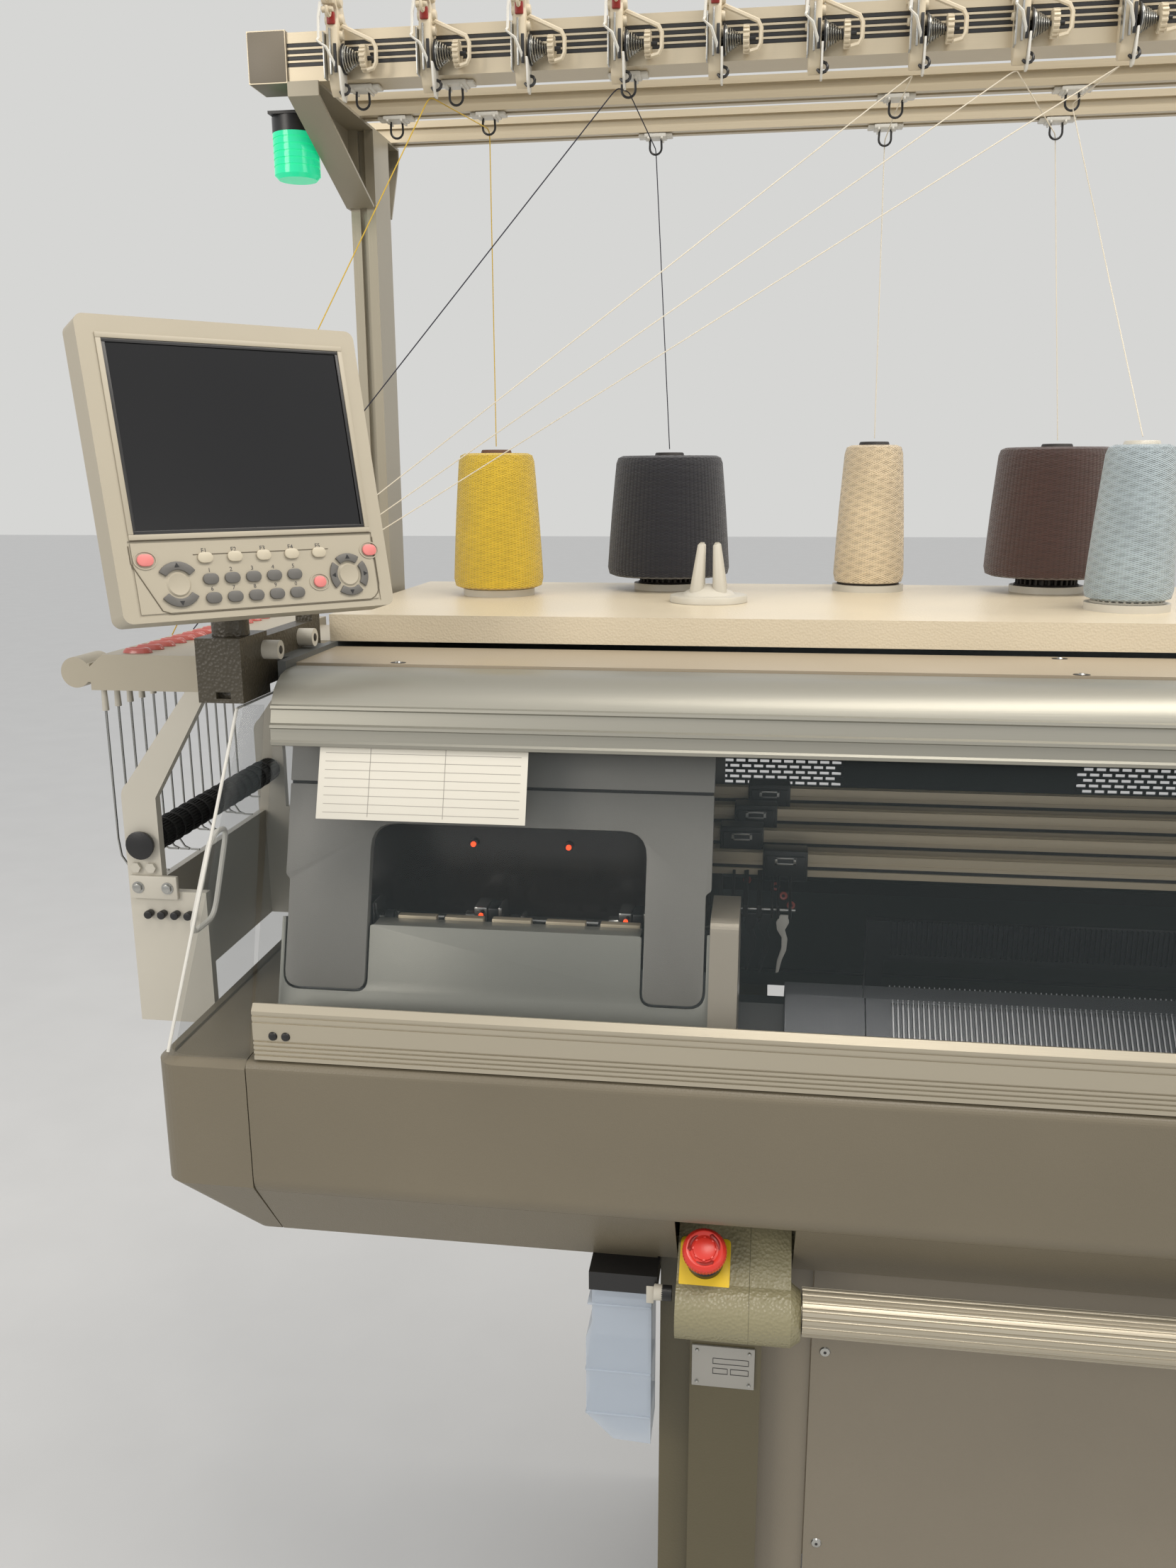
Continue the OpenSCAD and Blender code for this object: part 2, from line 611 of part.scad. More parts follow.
// Tension units along the front of the tension rail
unit_x0 = left + 100;
module tension_unit() {
    y = rail_y;
    top = creel_z + tension_rail_h;
    run_x(-9, 9) polygon([[y, creel_z + 4], [y, top], [y + 24, top], [y + 24, top + 5], [y + 2, top + 12],
        [y - 16, top + 12], [y - 22, top + 4], [y - 22, creel_z + 2], [y - 14, creel_z - 8], [y - 6, creel_z - 8]]);
    run_x(-4, 4) polygon([[y - 16, top + 12], [y - 16, top + 34], [y - 8, top + 38], [y + 2, top + 30], [y, top + 12]]);
    for (z = [creel_z + 10, top - 4]) rod([0, y - 15, z], [-12, y - 44, z - 12], 3);
    pin_x(5, 37, y - 11, creel_z + 17, 5);
    pin_x(14, 16, y - 11, creel_z + 17, 21);
    pin_x(17, 19, y - 11, creel_z + 17, 21);
    translate([18.5, y - 11, creel_z + 17]) rotate([0, 90, 0]) cylinder(d1 = 18, d2 = 9, h = 11);
    pin_x(29, 35, y - 11, creel_z + 17, 15);
    wire([[3, y - 6, top - 8], [26, y - 20, top - 2], [40, y - 24, creel_z + 6]], 2.5);
    run_x(-3, 3) polygon([[y - 14, creel_z - 4], [y - 12, creel_z - 21], [y - 8, creel_z - 21], [y - 7, creel_z - 4]]);
}
module tension_units() color("beige") seat()
    for (i = [0:unit_count - 1]) translate([unit_x0 + i * unit_pitch, 0, 0]) tension_unit();

// Yarns from the cones over the rails to the units, and on to the side tension
yarn_d = 1.2;
guide_x = -side_in - 75;           // row of eyelets on the side tension
guide_y = -70;
guide_pitch = 25;
guide_top = 1388;
thread_y = rail_y - 8;
thread_z = creel_z - 22;
function unit_at(i) = [unit_x0 + i * unit_pitch, thread_y, thread_z];
function above(c) = [c[0], c[1], c[5] + 8];
function eye(i) = [rail_eyes[i][0], rail_eyes[i][1] + 3, eye_z];
function guide(i) = [guide_x, guide_y + i * guide_pitch, guide_top];
yarn_paths = [[above(front_yarns[0]), eye(4), unit_at(1), guide(3)],
    [above(rear_yarns[0]), eye(7), eye(2), unit_at(3), guide(5)],
    [above(rear_yarns[1]), eye(8), eye(5), unit_at(6), guide(7)],
    [above(rear_yarns[2]), eye(9), unit_at(7), guide(9)],
    [above(front_yarns[1]), eye(6) - [0, 3, 0], unit_at(8), guide(11)]];
module yarn_threads() color("wheat") seat()
    for (p = yarn_paths) {
        for (i = [0:len(p) - 2]) rod(p[i], p[i + 1], yarn_d);
        for (i = [1:len(p) - 2]) translate(p[i]) cube(yarn_d + 0.8, center = true);
    }

// Signal lamp hanging from a tab on the left arm
lamp_x = -arm_out - lamp_d / 2 - 2;
lamp_y = 237;
lamp_top = creel_z - 12;
base_h = 16;
module lamp_base() color("dimgray") seat() {
    block([lamp_x - lamp_d / 2 + 4, lamp_y - 26, lamp_top], [-arm_out, lamp_y + 26, lamp_top + 3]);
    translate([lamp_x, lamp_y, lamp_top - base_h]) cylinder(d = lamp_d, h = base_h);
}
module lamp_lens() color("red") seat() translate([lamp_x, lamp_y, lamp_top - base_h - lens_h]) difference() {
    union() {
        translate([0, 0, 4]) cylinder(d = lamp_d, h = lens_h - 4);
        cylinder(d1 = lamp_d - 8, d2 = lamp_d, h = 4);
    }
    translate([0, 0, 6]) cylinder(d = lamp_d - 6, h = lens_h);
    for (z = [12:7:lens_h - 5]) translate([0, 0, z]) rotate_extrude() translate([lamp_d / 2, 0]) square([2, 2], center = true);
}

// Screen: bracket, swivel neck, tilting housing, glass and keys
bracket_top = 1405;
bracket_w = 46;
bracket_low = table_low - 31;
journal_h = 40;
neck_pin_d = 24;
tilt_pin_d = 12;
module screen_bracket() color("olive") seat() difference() {
    union() {
        block([screen_x - bracket_w / 2, screen_y - 28, bracket_low], [-post_in, screen_y + 36, bracket_top]);
        block([-post_in - 18, screen_y + 36, bracket_low + 8], [-post_in, 63, bracket_top - 5]);
        block([-post_in - 18, 41, bracket_top - 5], [-post_in, 63, bracket_top + 5]);
    }
    translate([screen_x, screen_y, bracket_top - journal_h]) cylinder(d = neck_pin_d + 2 * nudge, h = journal_h + 1);
    block([screen_x - 6, screen_y - 29, bracket_low + 4], [screen_x + 8, screen_y - 20, bracket_low + 10]);
}
bumper_d = 18;
bumper_z = table_low + 11;
module cover_bumpers() color("white") seat() for (y = [-90, 3])
    pin_x(-post_in, -post_in + 16, y, bumper_z, bumper_d);
module at_tilt() translate([screen_x, screen_y, screen_z]) rotate([0, 0, screen_yaw]) children();
module at_screen() at_tilt() rotate([-screen_tilt, 0, 0]) children();
module screen_neck() color("olive") seat() difference() {
    union() {
        translate([screen_x, screen_y, bracket_top - journal_h + slit]) cylinder(d = neck_pin_d, h = journal_h);
        translate([screen_x, screen_y, bracket_top + slit]) cylinder(d = neck_d, h = screen_z - bracket_top - 20);
        at_tilt() intersection() {
            pin_x(-neck_d / 2, neck_d / 2, 0, 0, neck_d);
            block([-neck_d / 2, -neck_d, -neck_d], [neck_d / 2, neck_d, neck_d]);
        }
        at_tilt() block([-neck_d / 2, -neck_d / 2, -24], [neck_d / 2, neck_d / 2, 0]);
    }
    at_tilt() pin_x(-neck_d, neck_d, 0, 0, tilt_pin_d + 2 * nudge);
}
module soft_square(w, h, r) {
    square([w - 2 * r, h], center = true);
    square([w, h - 2 * r], center = true);
    for (x = [r - w / 2, w / 2 - r], y = [r - h / 2, h / 2 - r]) translate([x, y]) circle(r);
}
// Draws in the plane of the screen's face, t above it
module on_face(t, h) translate([0, -screen_front - t, 0]) rotate([90, 0, 0]) translate([0, 0, -h])
    linear_extrude(h) children();
display_up = 26.5;
module screen_housing() color("beige") seat() at_screen() difference() {
    union() {
        on_face(0, screen_t - 8) soft_square(screen_w, screen_h, screen_round);
        on_face(-screen_t + 8, 8) soft_square(screen_w - 16, screen_h - 16, screen_round);
        for (s = [-1, 1]) translate([s * (neck_d / 2 + 0.5 + 5), 0, 0]) {
            pin_x(-5, 5, 0, 0, 28);
            block([-5, screen_t - screen_front, -14], [5, 0, 14]);
        }
        pin_x(-neck_d / 2 - 8, neck_d / 2 + 8, 0, 0, tilt_pin_d);
    }
    translate([0, 0, display_up]) on_face(1, 4) square([display_w, display_h], center = true);
    on_face(1, 2) difference() {
        translate([0, -89]) square([224, 62], center = true);
        translate([0, -89]) square([220, 58], center = true);
    }
}
module screen_glass() color("steelblue") seat() at_screen() translate([0, 0, display_up])
    on_face(-0.5, 2.5) square([display_w - 2 * slit, display_h - 2 * slit], center = true);
module oval(w, h) {
    square([w - h, h], center = true);
    for (s = [-1, 1]) translate([s * (w - h) / 2, 0]) circle(d = h);
}
module ring_keys(x, y, ro, ri, cuts) translate([x, y]) difference() {
    circle(ro);
    circle(ri);
    for (a = cuts) rotate(a) square([2 * ro + 2, 3], center = true);
}
key_h = 2;
module screen_keys() color("gray") seat() at_screen() on_face(key_h, key_h) {
    for (x = spread(5, 26.3)) translate([x + 3.5, -74]) oval(18, 9);
    for (x = spread(5, 19.2), y = [-92, -108]) translate([x - 8.5, y]) oval(14, 9);
    for (k = [[-100, -74], [107, -74], [53, -100]]) translate(k) circle(5.5);
    ring_keys(83, -95, 19, 9, [45, 135]);
    ring_keys(-75, -95, 17, 9, [90]);
}

// Brackets of the operating bar, with the emergency stop in the left one
bracket_in = 814;
bracket_out = 917;
bracket_r = 28;
bracket_c = [-214, 808];
slope_low = [front_y, 827];
slope_run = 72;
slope_top = slope_low + slope_run * [1, tan(stop_slope)];
stop_x = -892;
stop_at = slope_low + 27 * [1, tan(stop_slope)];
bracket_split = 851;               // joint between the two castings of a bracket
boss_l = 9;
collar_h = 8;
press = 4;                         // travel of the emergency stop
stem_low = 18;
stem_top = 20;
twist_d = 10;
twist_low = collar_h + press + 1;
module bracket_shape() {
    polygon([[stand_y, bracket_c[1] - bracket_r], [stand_y, stand_top_z], [stand_y + 20, stand_top_z],
        [stand_y + 20, slope_top[1]], slope_top, slope_low, bracket_c, [bracket_c[0], bracket_c[1] - bracket_r]]);
    translate(bracket_c) circle(bracket_r);
}
module at_stop() translate([stop_x, stop_at[0], stop_at[1]]) rotate([stop_slope, 0, 0]) children();
module bar_brackets() color("olive") seat() difference() {
    union() {
        both() {
            run_x(-bracket_out, -bracket_split - slit) bracket_shape();
            run_x(-bracket_split, -bracket_in) bracket_shape();
            translate([-bracket_in, bracket_c[0], bracket_c[1]]) rotate([0, 90, 0])
                cylinder(r1 = bracket_r, r2 = bracket_r - 6, h = boss_l);
        }
        at_stop() cylinder(d = stop_stem_d + 8, h = collar_h);
    }
    both() pin_x(-bracket_in - 26, -bracket_in + boss_l + 1, -bar_front, bar_z, journal_d + 2 * nudge);
    at_stop() translate([0, 0, -stem_low - 6]) cylinder(d = stop_stem_d + 2 * nudge, h = stem_low + collar_h + 7);
}
module stop_stem() color("silver") seat() at_stop() difference() {
    translate([0, 0, -stem_low]) cylinder(d = stop_stem_d, h = stem_low + stem_top);
    translate([0, 0, twist_low - 1]) cylinder(d = twist_d + 2 * nudge, h = stem_top + 2 - twist_low);
}
module stop_head() color("red") seat() at_stop() {
    translate([0, 0, stem_top + slit]) cylinder(d = stop_d - 6, h = 3);
    translate([0, 0, stem_top + 3]) cylinder(d = stop_d, h = 7);
    translate([0, 0, stem_top + 10]) cylinder(d1 = stop_d, d2 = stop_d - 12, h = 4);
    translate([0, 0, twist_low]) cylinder(d = twist_d, h = stem_top + 1 - twist_low);
}
flutes = 18;
bar_end = bracket_in - boss_l - 1;
module operating_bar() color("silver") seat() {
    run_x(-bar_end, bar_end) translate([-bar_front, bar_z]) difference() {
        circle(d = bar_d, $fn = 64);
        for (i = [0:flutes - 1]) rotate(i * 360 / flutes) translate([bar_d / 2, 0]) circle(2, $fn = 16);
    }
    pin_x(-bracket_in - 20, bracket_in + 20, -bar_front, bar_z, journal_d);
}

// Oil bottle under its bracket on the left stand
bottle_x = -stand_x - stand_w / 2 - 67;
bottle_y = -199;
bottle_d = 50;
bottle_top = 806;
bottle_shape = [[6, 0], [bottle_w, 0], [bottle_w, -bottle_h], [26, -bottle_h + 2], [0, -bottle_h + 28],
    [0, -52], [6, -34]];
bottle_mid = [bottle_w / 2, -bottle_h / 2];
module bottle_bracket() color("black") seat() {
    block([bottle_x + 3, bottle_y, bottle_top], [-stand_x - stand_w / 2, bottle_y + bottle_d, bevel_low_z]);
    pin_x(bottle_x + 67, bottle_x + 67 + 14, bottle_y - 4, bottle_top + 6, 14);
}
module oil_bottle() color("white") seat() translate([bottle_x, 0, bottle_top]) difference() {
    run_y(bottle_y, bottle_y + bottle_d) polygon(bottle_shape);
    run_y(bottle_y + 3, bottle_y + bottle_d - 3) polygon([for (p = bottle_shape) bottle_mid + 0.9 * (p - bottle_mid)]);
    translate([bottle_w / 2 + 10, bottle_y + bottle_d / 2, -12]) cylinder(d = 20, h = 13);
}

// Side tension: housing, eyelets, wire arms, feed roller and its arm
side_y = -86;
side_low = 1345;
side_top = 1380;
roller_x = -side_in - 80;
roller_z = 1190;
plate_t = 10;
module side_housing() color("beige") seat() {
    run_y(side_y, side_y + side_l) polygon([[-side_in, side_low], [-side_in, side_top],
        [-side_out + 14, side_top], [-side_out, side_top - 12], [-side_out, side_low]]);
    block([-side_in, side_y + side_l - 159, side_low + 5], [-seam_x, side_y + side_l - 19, side_top - 8]);
    pin_y(side_y, side_y + 46, -side_out - shaft_d / 2, side_low + 17, shaft_d);
    block([-side_out - shaft_d / 2, side_y, side_low + 8], [-side_out, side_y + 46, side_low + 26]);
}
module side_eyelets() color("pink") seat() for (i = [0:yarn_count - 1])
    translate([guide_x, guide_y + i * guide_pitch, side_top]) difference() {
        cylinder(d = 14, h = guide_top - side_top);
        translate([0, 0, -1]) cylinder(d = 4, h = 12);
    }
wire_d = 2.5;
module wire_arms() color("silver") seat() for (i = [0:yarn_count - 1]) {
    y = guide_y + i * guide_pitch;
    b = [-side_out + 4, y, roller_z - 10 - (i % 3) * 8];
    p = [b, b + [12, 0, -22], b + [26, 0, -22]];
    translate(b) cylinder(d = wire_d, h = side_low - b[2], $fn = 16);
    for (k = [0, 1]) rod(p[k], p[k + 1], wire_d);
    for (k = [0, 1]) pin_y(y - wire_d / 2 - 0.3, y + wire_d / 2 + 0.3, p[k][0], p[k][2], wire_d + 1);
}
feed_end = plate_t + 0.5;
roller_l = side_l - 2 * feed_end;
plate_low = roller_z - 50;
plate_bend = roller_z + 48;
feed_guard_low = roller_z - 190;   // guard under the feed roller
feed_guard_right = roller_x + 63;
feed_guard_top = plate_low + 1;
module side_plate(y) run_y(y, y + plate_t) {
    polygon([[roller_x + 58, side_low], [-side_in, side_low], [roller_x + 18, plate_bend],
        [roller_x + 18, plate_low], [roller_x - 18, plate_low], [roller_x - 18, plate_bend],
        [roller_x - 8, plate_bend + 18]]);
    translate([roller_x, plate_bend]) circle(18);
}
module side_arm() color("white") seat() difference() {
    union() {
        side_plate(side_y);
        side_plate(side_y + side_l - plate_t);
        block([roller_x - 18, side_y, feed_guard_low], [roller_x - 10, side_y + side_l, feed_guard_top - 5]);
        for (y = [side_y, side_y + side_l - plate_t])
            block([roller_x - 18, y, feed_guard_low], [feed_guard_right, y + plate_t, feed_guard_top]);
        for (x = [-8, 8]) translate([roller_x + x, side_y - 4, roller_z - 24]) rotate([-90, 0, 0]) cylinder(d = 11, h = 5, $fn = 6);
    }
    pin_y(side_y - 1, side_y + side_l + 1, roller_x, roller_z, 12 + 2 * nudge);
}
module feed_roller() color("dimgray") seat() {
    pin_y(side_y + feed_end, side_y + side_l - feed_end, roller_x + 0, roller_z, feed_roller_d);
    pin_y(side_y + 1, side_y + side_l - 1, roller_x, roller_z, 12);
}

// Carriage: an arch over rails and beds, closed by a side panel on the right
arch_x = -seam_x + 10;
arch_low = 1060;
leg_low = arch_low + 18;
arch_top = 1342;
arch_back = 213;
arch_foot = [-164, arch_low];
arch_shoulder = [-60, arch_top - 20];
arch_lean = 162.4;
arch_path = concat([[arch_back, arch_low - 12]], arc([arch_back - 20, arch_top - 20], 20, 0, 90),
    arc(arch_shoulder, 20, 90, arch_lean), [arch_foot]);
slope_dir = unit(arch_shoulder + 20 * [cos(arch_lean), sin(arch_lean)] - arch_foot);
slope_in = [slope_dir[1], -slope_dir[0]];
function on_front(z, t) = let (p = arch_foot + t * slope_in) p + slope_dir * (z - p[1]) / slope_dir[1];
window_x = arch_x + 82;
window_low = 1136;
window_top = 1228;
seam_z = 1262;
lug_w = 24;
belt_face = belt_y - pulley_d / 2 - slit - belt_t;
module carriage_arch() color("tan") seat() {
    difference() {
        run_x(arch_x, arch_x + carriage_w) sheet(arch_path, arch_wall);
        block([window_x, -200, arch_low - 20], [window_x + arch_window_w, -60, window_top]);
        block([arch_x - 1, -200, arch_low - 20], [arch_x + carriage_w + 1, -60, leg_low]);
        run_x(arch_x - 1, arch_x + carriage_w + 1) polygon([on_front(seam_z, -1), on_front(seam_z + 2, -1),
            on_front(seam_z + 2, 1.5), on_front(seam_z, 1.5)]);
    }
    block([arch_x + 200, arch_back - 1, belt_z - 10], [arch_x + 200 + lug_w, belt_face - 0.5, belt_z + 10]);
}
cover_out = 4;                     // recess of the lower cover between the legs
cover_foot = arch_low - 12;
module carriage_cover() color("silver") seat() {
    run_x(window_x + 2, window_x + arch_window_w - 2) polygon([on_front(leg_low - 4, arch_wall),
        on_front(leg_low - 4, cover_out), on_front(window_low, cover_out), on_front(window_low, arch_wall)]);
    run_x(arch_x, arch_x + carriage_w) polygon([on_front(cover_foot, arch_wall), on_front(cover_foot, 1),
        on_front(leg_low - 2, 1), on_front(leg_low - 2, arch_wall)]);
}
panel_top = 1152;
panel_round = 14;
panel_at = on_front(panel_top - panel_round, panel_round + 2);
module carriage_panel() color("silver") seat()
    run_x(arch_x + carriage_w, arch_x + carriage_w + side_panel_w) polygon(concat(
        [bed_line(-1, bed_z - 3), bed_line(-1, bed_z - 80), [-140, bed_z - 48], on_front(cover_foot, 2)],
        backwards(arc(panel_at, panel_round, 90, arch_lean)),
        [[-60, panel_top], [-30, box_top], [-bed_gap / 2 - 4, box_top]]));
box_top = comb_top + 3;
bed_clear = 4;
function bed_line(s, z) = [s * (bed_z + bed_gap / 2 + bed_clear - z), z];
module cam_boxes() color("gray") seat() run_x(arch_x + 10, arch_x + carriage_w) {
    polygon([bed_line(-1, bed_z - 3), bed_line(-1, bed_z - 80), [-140, bed_z - 48],
        on_front(arch_low, arch_wall), on_front(box_top, arch_wall), [-bed_gap / 2 - 4, box_top]]);
    polygon([bed_line(1, comb_foot_z - 16), bed_line(1, bed_z - 80), [140, bed_z - 48], [150, arch_low],
        [arch_back - arch_wall, arch_low], [arch_back - arch_wall, box_top], [comb_y + 16, box_top]]);
}
motor_places = [arch_x + 61, arch_x + 187, arch_x + 329];
motor_y = -69;
module step_motors() color("black") seat() for (x = motor_places) {
    block([x - motor_side / 2, motor_y - motor_side / 2, box_top], [x + motor_side / 2, motor_y + motor_side / 2, box_top + 36]);
    translate([x, motor_y, box_top + 36]) cylinder(d = 12, h = 8);
}

// Safety cover: top rail on its hinge pins, clear pane and grip rail
pane_low = [front_y + 10, 1078];
pane_high = [front_y + 100, 1328];
pane_dir = unit(pane_high - pane_low);
pane_in = [pane_dir[1], -pane_dir[0]];
rail_rim = [[-61, -39], [-55, -16], [-41, 1], [-18, 9], [7, 9], [7, 1], [-15, -1], [-33, -9], [-45, -23]];
module cover_top_rail() color("dimgray") seat() {
    run_x(-cover_x, cover_x) polygon(concat([for (p = rail_rim) [cover_pin_y, cover_pin_z] + p],
        [pane_high + pane_t * pane_in + nudge * pane_dir, pane_high + nudge * (pane_dir - pane_in),
        pane_high - 7 * pane_dir - nudge * pane_in]));
    pin_x(-seam_x + 1, seam_x - 1, cover_pin_y, cover_pin_z, cover_pin_d);
}
module cover_pane() color("lightblue", 0.4) seat() run_x(-cover_x, cover_x)
    polygon([pane_low, pane_high, pane_high + pane_t * pane_in, pane_low + pane_t * pane_in]);
module cover_grip_rail() color("silver") seat() run_x(-cover_x, cover_x) difference() {
    polygon([[-226, cover_top_z + 2], [-226, 1081], [-221, 1087], pane_low + 8 * pane_dir, pane_low,
        pane_low + pane_t * pane_in, [-209, 1074], [-209, cover_top_z + 2]]);
    for (i = [0:3]) translate([-227, cover_top_z + 6 + 4.5 * i]) square([2.5, 2]);
    for (z = [1070, 1076]) translate([-227, z]) square([2, 2]);
}

machine_frame();
levelling_feet();
bed_beam();
end_frames();
kick_panel();
rear_panel();
control_cabinet();
front_cover();
left_end_cover();
right_end_cover();
side_windows();
front_needle_bed();
rear_needle_bed();
sinker_comb();
feeder_rails();
trim_beam();
cone_table();
cone_holders();
front_cones();
rear_cones();
creel_posts();
creel_arms();
tension_rail();
eyelet_rails();
yarn_eyelets();
tension_units();
yarn_threads();
lamp_base();
lamp_lens();
screen_bracket();
cover_bumpers();
bar_brackets();
stop_stem();
stop_head();
operating_bar();
bottle_bracket();
oil_bottle();
side_housing();
side_eyelets();
wire_arms();
feed_roller();
side_arm();
carriage_arch();
carriage_cover();
carriage_panel();
cam_boxes();
step_motors();
yarn_feeder();
cover_top_rail();
cover_pane();
cover_grip_rail();
screen_neck();
screen_housing();
screen_glass();
screen_keys();
take_down_roller();
pressure_roller();
drive_pulley();
idler_pulley();
drive_belt();
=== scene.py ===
# %% [markdown]
# # Dressing a flat knitting machine
# The solids of this machine come from its CAD source, packed as a fixed frame. This lesson gives every solid
# a finish, and models the small parts that the solids only stand for: yarn packages, tension units, keys,
# needles, eyelets and wires. Each piece is modelled in the millimetres of the CAD drawing and then put into
# the frame's metres by one matrix, so nothing has to be fitted by eye.

# %% Load the frame
import math
from functools import partial
import bpy
import bmesh
from mathutils import Matrix, Vector


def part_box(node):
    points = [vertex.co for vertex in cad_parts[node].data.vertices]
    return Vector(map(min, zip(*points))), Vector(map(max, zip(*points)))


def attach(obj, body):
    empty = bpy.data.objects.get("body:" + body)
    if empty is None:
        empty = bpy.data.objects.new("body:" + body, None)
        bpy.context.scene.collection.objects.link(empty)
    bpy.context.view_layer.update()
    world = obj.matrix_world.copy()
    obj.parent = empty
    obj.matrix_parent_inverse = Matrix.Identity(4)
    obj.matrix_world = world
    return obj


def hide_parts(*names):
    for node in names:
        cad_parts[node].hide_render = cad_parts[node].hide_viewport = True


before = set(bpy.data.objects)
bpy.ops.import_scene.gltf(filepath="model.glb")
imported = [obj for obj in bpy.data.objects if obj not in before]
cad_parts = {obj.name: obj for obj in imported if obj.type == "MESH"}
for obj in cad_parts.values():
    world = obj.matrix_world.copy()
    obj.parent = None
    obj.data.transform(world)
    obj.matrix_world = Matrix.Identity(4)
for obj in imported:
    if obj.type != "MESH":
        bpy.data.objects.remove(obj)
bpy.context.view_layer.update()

# %% [markdown]
# ## From drawing to frame
# The drawing has its zero between the needle beds. The front edge of the cone table lies 59 mm behind that
# line and is centred on it, so the table tells where the drawing sits in the frame.

# %% The matrix from millimetres to the frame
TABLE_SET_BACK = 0.059       # metres from the drawing's zero to the table's front edge
table_low, table_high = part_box("cone_table")
drawing_zero = Vector(((table_low.x + table_high.x) / 2, table_low.y - TABLE_SET_BACK, 0))
TO_FRAME = Matrix.Translation(drawing_zero) @ Matrix.Scale(0.001, 4)
print("drawing zero lies at", [round(v, 4) for v in drawing_zero])


def at(x, y, z):
    return Matrix.Translation((x, y, z))


def spin(degrees, axis):
    return Matrix.Rotation(math.radians(degrees), 4, axis)


def linked(name, data):
    made = bpy.data.objects.new(name, data)
    bpy.context.collection.objects.link(made)
    return made


# %% [markdown]
# ## Camera
# A camera is best set as a photographer would describe it: where it stands, how far it is turned,
# how far it looks down, how far it is rolled, and its lens. The three turns are multiplied in that order, which
# is clearer than Euler angles.

# %% Camera
CAMERA_AT, LENS = (-852, -1229, 1550), 29.13      # in the drawing's millimetres, and the lens in its own
TURNED, LOOKS_DOWN, ROLLED = 8.1, 13.85, -0.26    # degrees
camera_data = bpy.data.cameras.new("camera")
camera_data.lens = LENS
camera = linked("camera", camera_data)
turns = spin(TURNED, "Z") @ spin(90 - LOOKS_DOWN, "X") @ spin(ROLLED, "Z")
camera.matrix_world = Matrix.Translation(TO_FRAME @ Vector(CAMERA_AT)) @ turns
bpy.context.scene.camera = camera
print("camera at", [round(v, 3) for v in camera.location])

# %% [markdown]
# ## Finishes
# Every finish starts from one recipe: a broad noise shifts the colour and the roughness a little, as paint and metal do
# over a large face, and a fine noise drives the bump. Object coordinates keep the grain fixed in space at its true
# size. A finish that needs more gets its own nodes later.
#
# The names in "on" are the CAD solids that wear a finish. Most of them are replaced by modelled pieces later.


# %% Recipe for a finish
def rgb(red, green, blue):
    def linear(value):
        value /= 255
        return value / 12.92 if value <= 0.04045 else ((value + 0.055) / 1.055) ** 2.4
    return (linear(red), linear(green), linear(blue), 1.0)


def set_inputs(node, **values):
    for socket, value in values.items():
        node.inputs[socket.replace("_", " ")].default_value = value
    return node


def new_node(tree, kind, **values):
    return set_inputs(tree.nodes.new("ShaderNode" + kind), **values)


def join(source, output, target, socket):
    source.id_data.links.new(source.outputs[output], target.inputs[socket])


def finish(name, colour, rough, metallic=0.0, on="", patch=5.0, shade=0.05, grain=900.0, relief=0.12,
           depth=0.0004, stretch=(1, 1, 1), cells=False, **sockets):
    material = bpy.data.materials.new(name)
    material.use_nodes = True
    tree, base = material.node_tree, rgb(*colour)[:3]
    shader = set_inputs(tree.nodes["Principled BSDF"], Metallic=metallic, **sockets)
    mapping = new_node(tree, "Mapping", Scale=stretch)
    join(new_node(tree, "TexCoord"), "Object", mapping, "Vector")
    broad = new_node(tree, "TexNoise", Scale=patch, Detail=5.0)
    join(mapping, "Vector", broad, "Vector")
    tint = new_node(tree, "ValToRGB")
    dark, light = tint.color_ramp.elements
    dark.position, light.position = 0.3, 0.7
    dark.color = [c * (1 - shade) for c in base] + [1]
    light.color = [min(1, c * (1 + shade)) for c in base] + [1]
    join(broad, "Fac", tint, "Fac")
    join(tint, "Color", shader, "Base Color")
    fine = new_node(tree, "TexVoronoi" if cells else "TexNoise", Scale=grain)
    join(mapping, "Vector", fine, "Vector")
    gloss = new_node(tree, "MapRange", To_Min=max(0.02, rough - 0.06), To_Max=min(1.0, rough + 0.06))
    join(broad, "Fac", gloss, "Value")
    join(gloss, "Result", shader, "Roughness")
    bump = new_node(tree, "Bump", Strength=relief, Distance=depth)
    join(fine, "Distance" if cells else "Fac", bump, "Height")
    join(bump, "Normal", shader, "Normal")
    for solid in on.split():
        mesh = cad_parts[solid].data
        mesh.materials.clear()
        mesh.materials.append(material)
    print(name, "on", on or "modelled pieces")
    return material


# %% [markdown]
# ### Painted sheet metal
# The covers wear a stipple paint: small soft bumps about a millimetre across. A Voronoi distance gives that hammered
# skin. The covers, the table edge and the stands wear one paint in different tones: the table edge is lighter, a
# painted light, and the covers and stands are darker, a painted shade. The carriage wears a finer grey paint.

# %% Paints
paint = partial(finish, cells=True)
# Painted shade: the covers wear the table edge's paint in a darker tone.
paint("cover_paint_shaded", (110, 102, 85), 0.42, grain=700, relief=0.25, depth=0.0005,
      on="front_cover left_end_cover right_end_cover")
# Painted light: the table edge wears the covers' paint in a lighter tone.
paint("table_paint", (204, 192, 168), 0.36, grain=420, relief=0.35, depth=0.0007, on="cone_table")
beam_paint = paint("beam_paint", (158, 146, 126), 0.4, grain=600, relief=0.2, on="trim_beam control_cabinet")
paint("kick_paint", (122, 114, 99), 0.38, grain=650, relief=0.2, on="kick_panel")
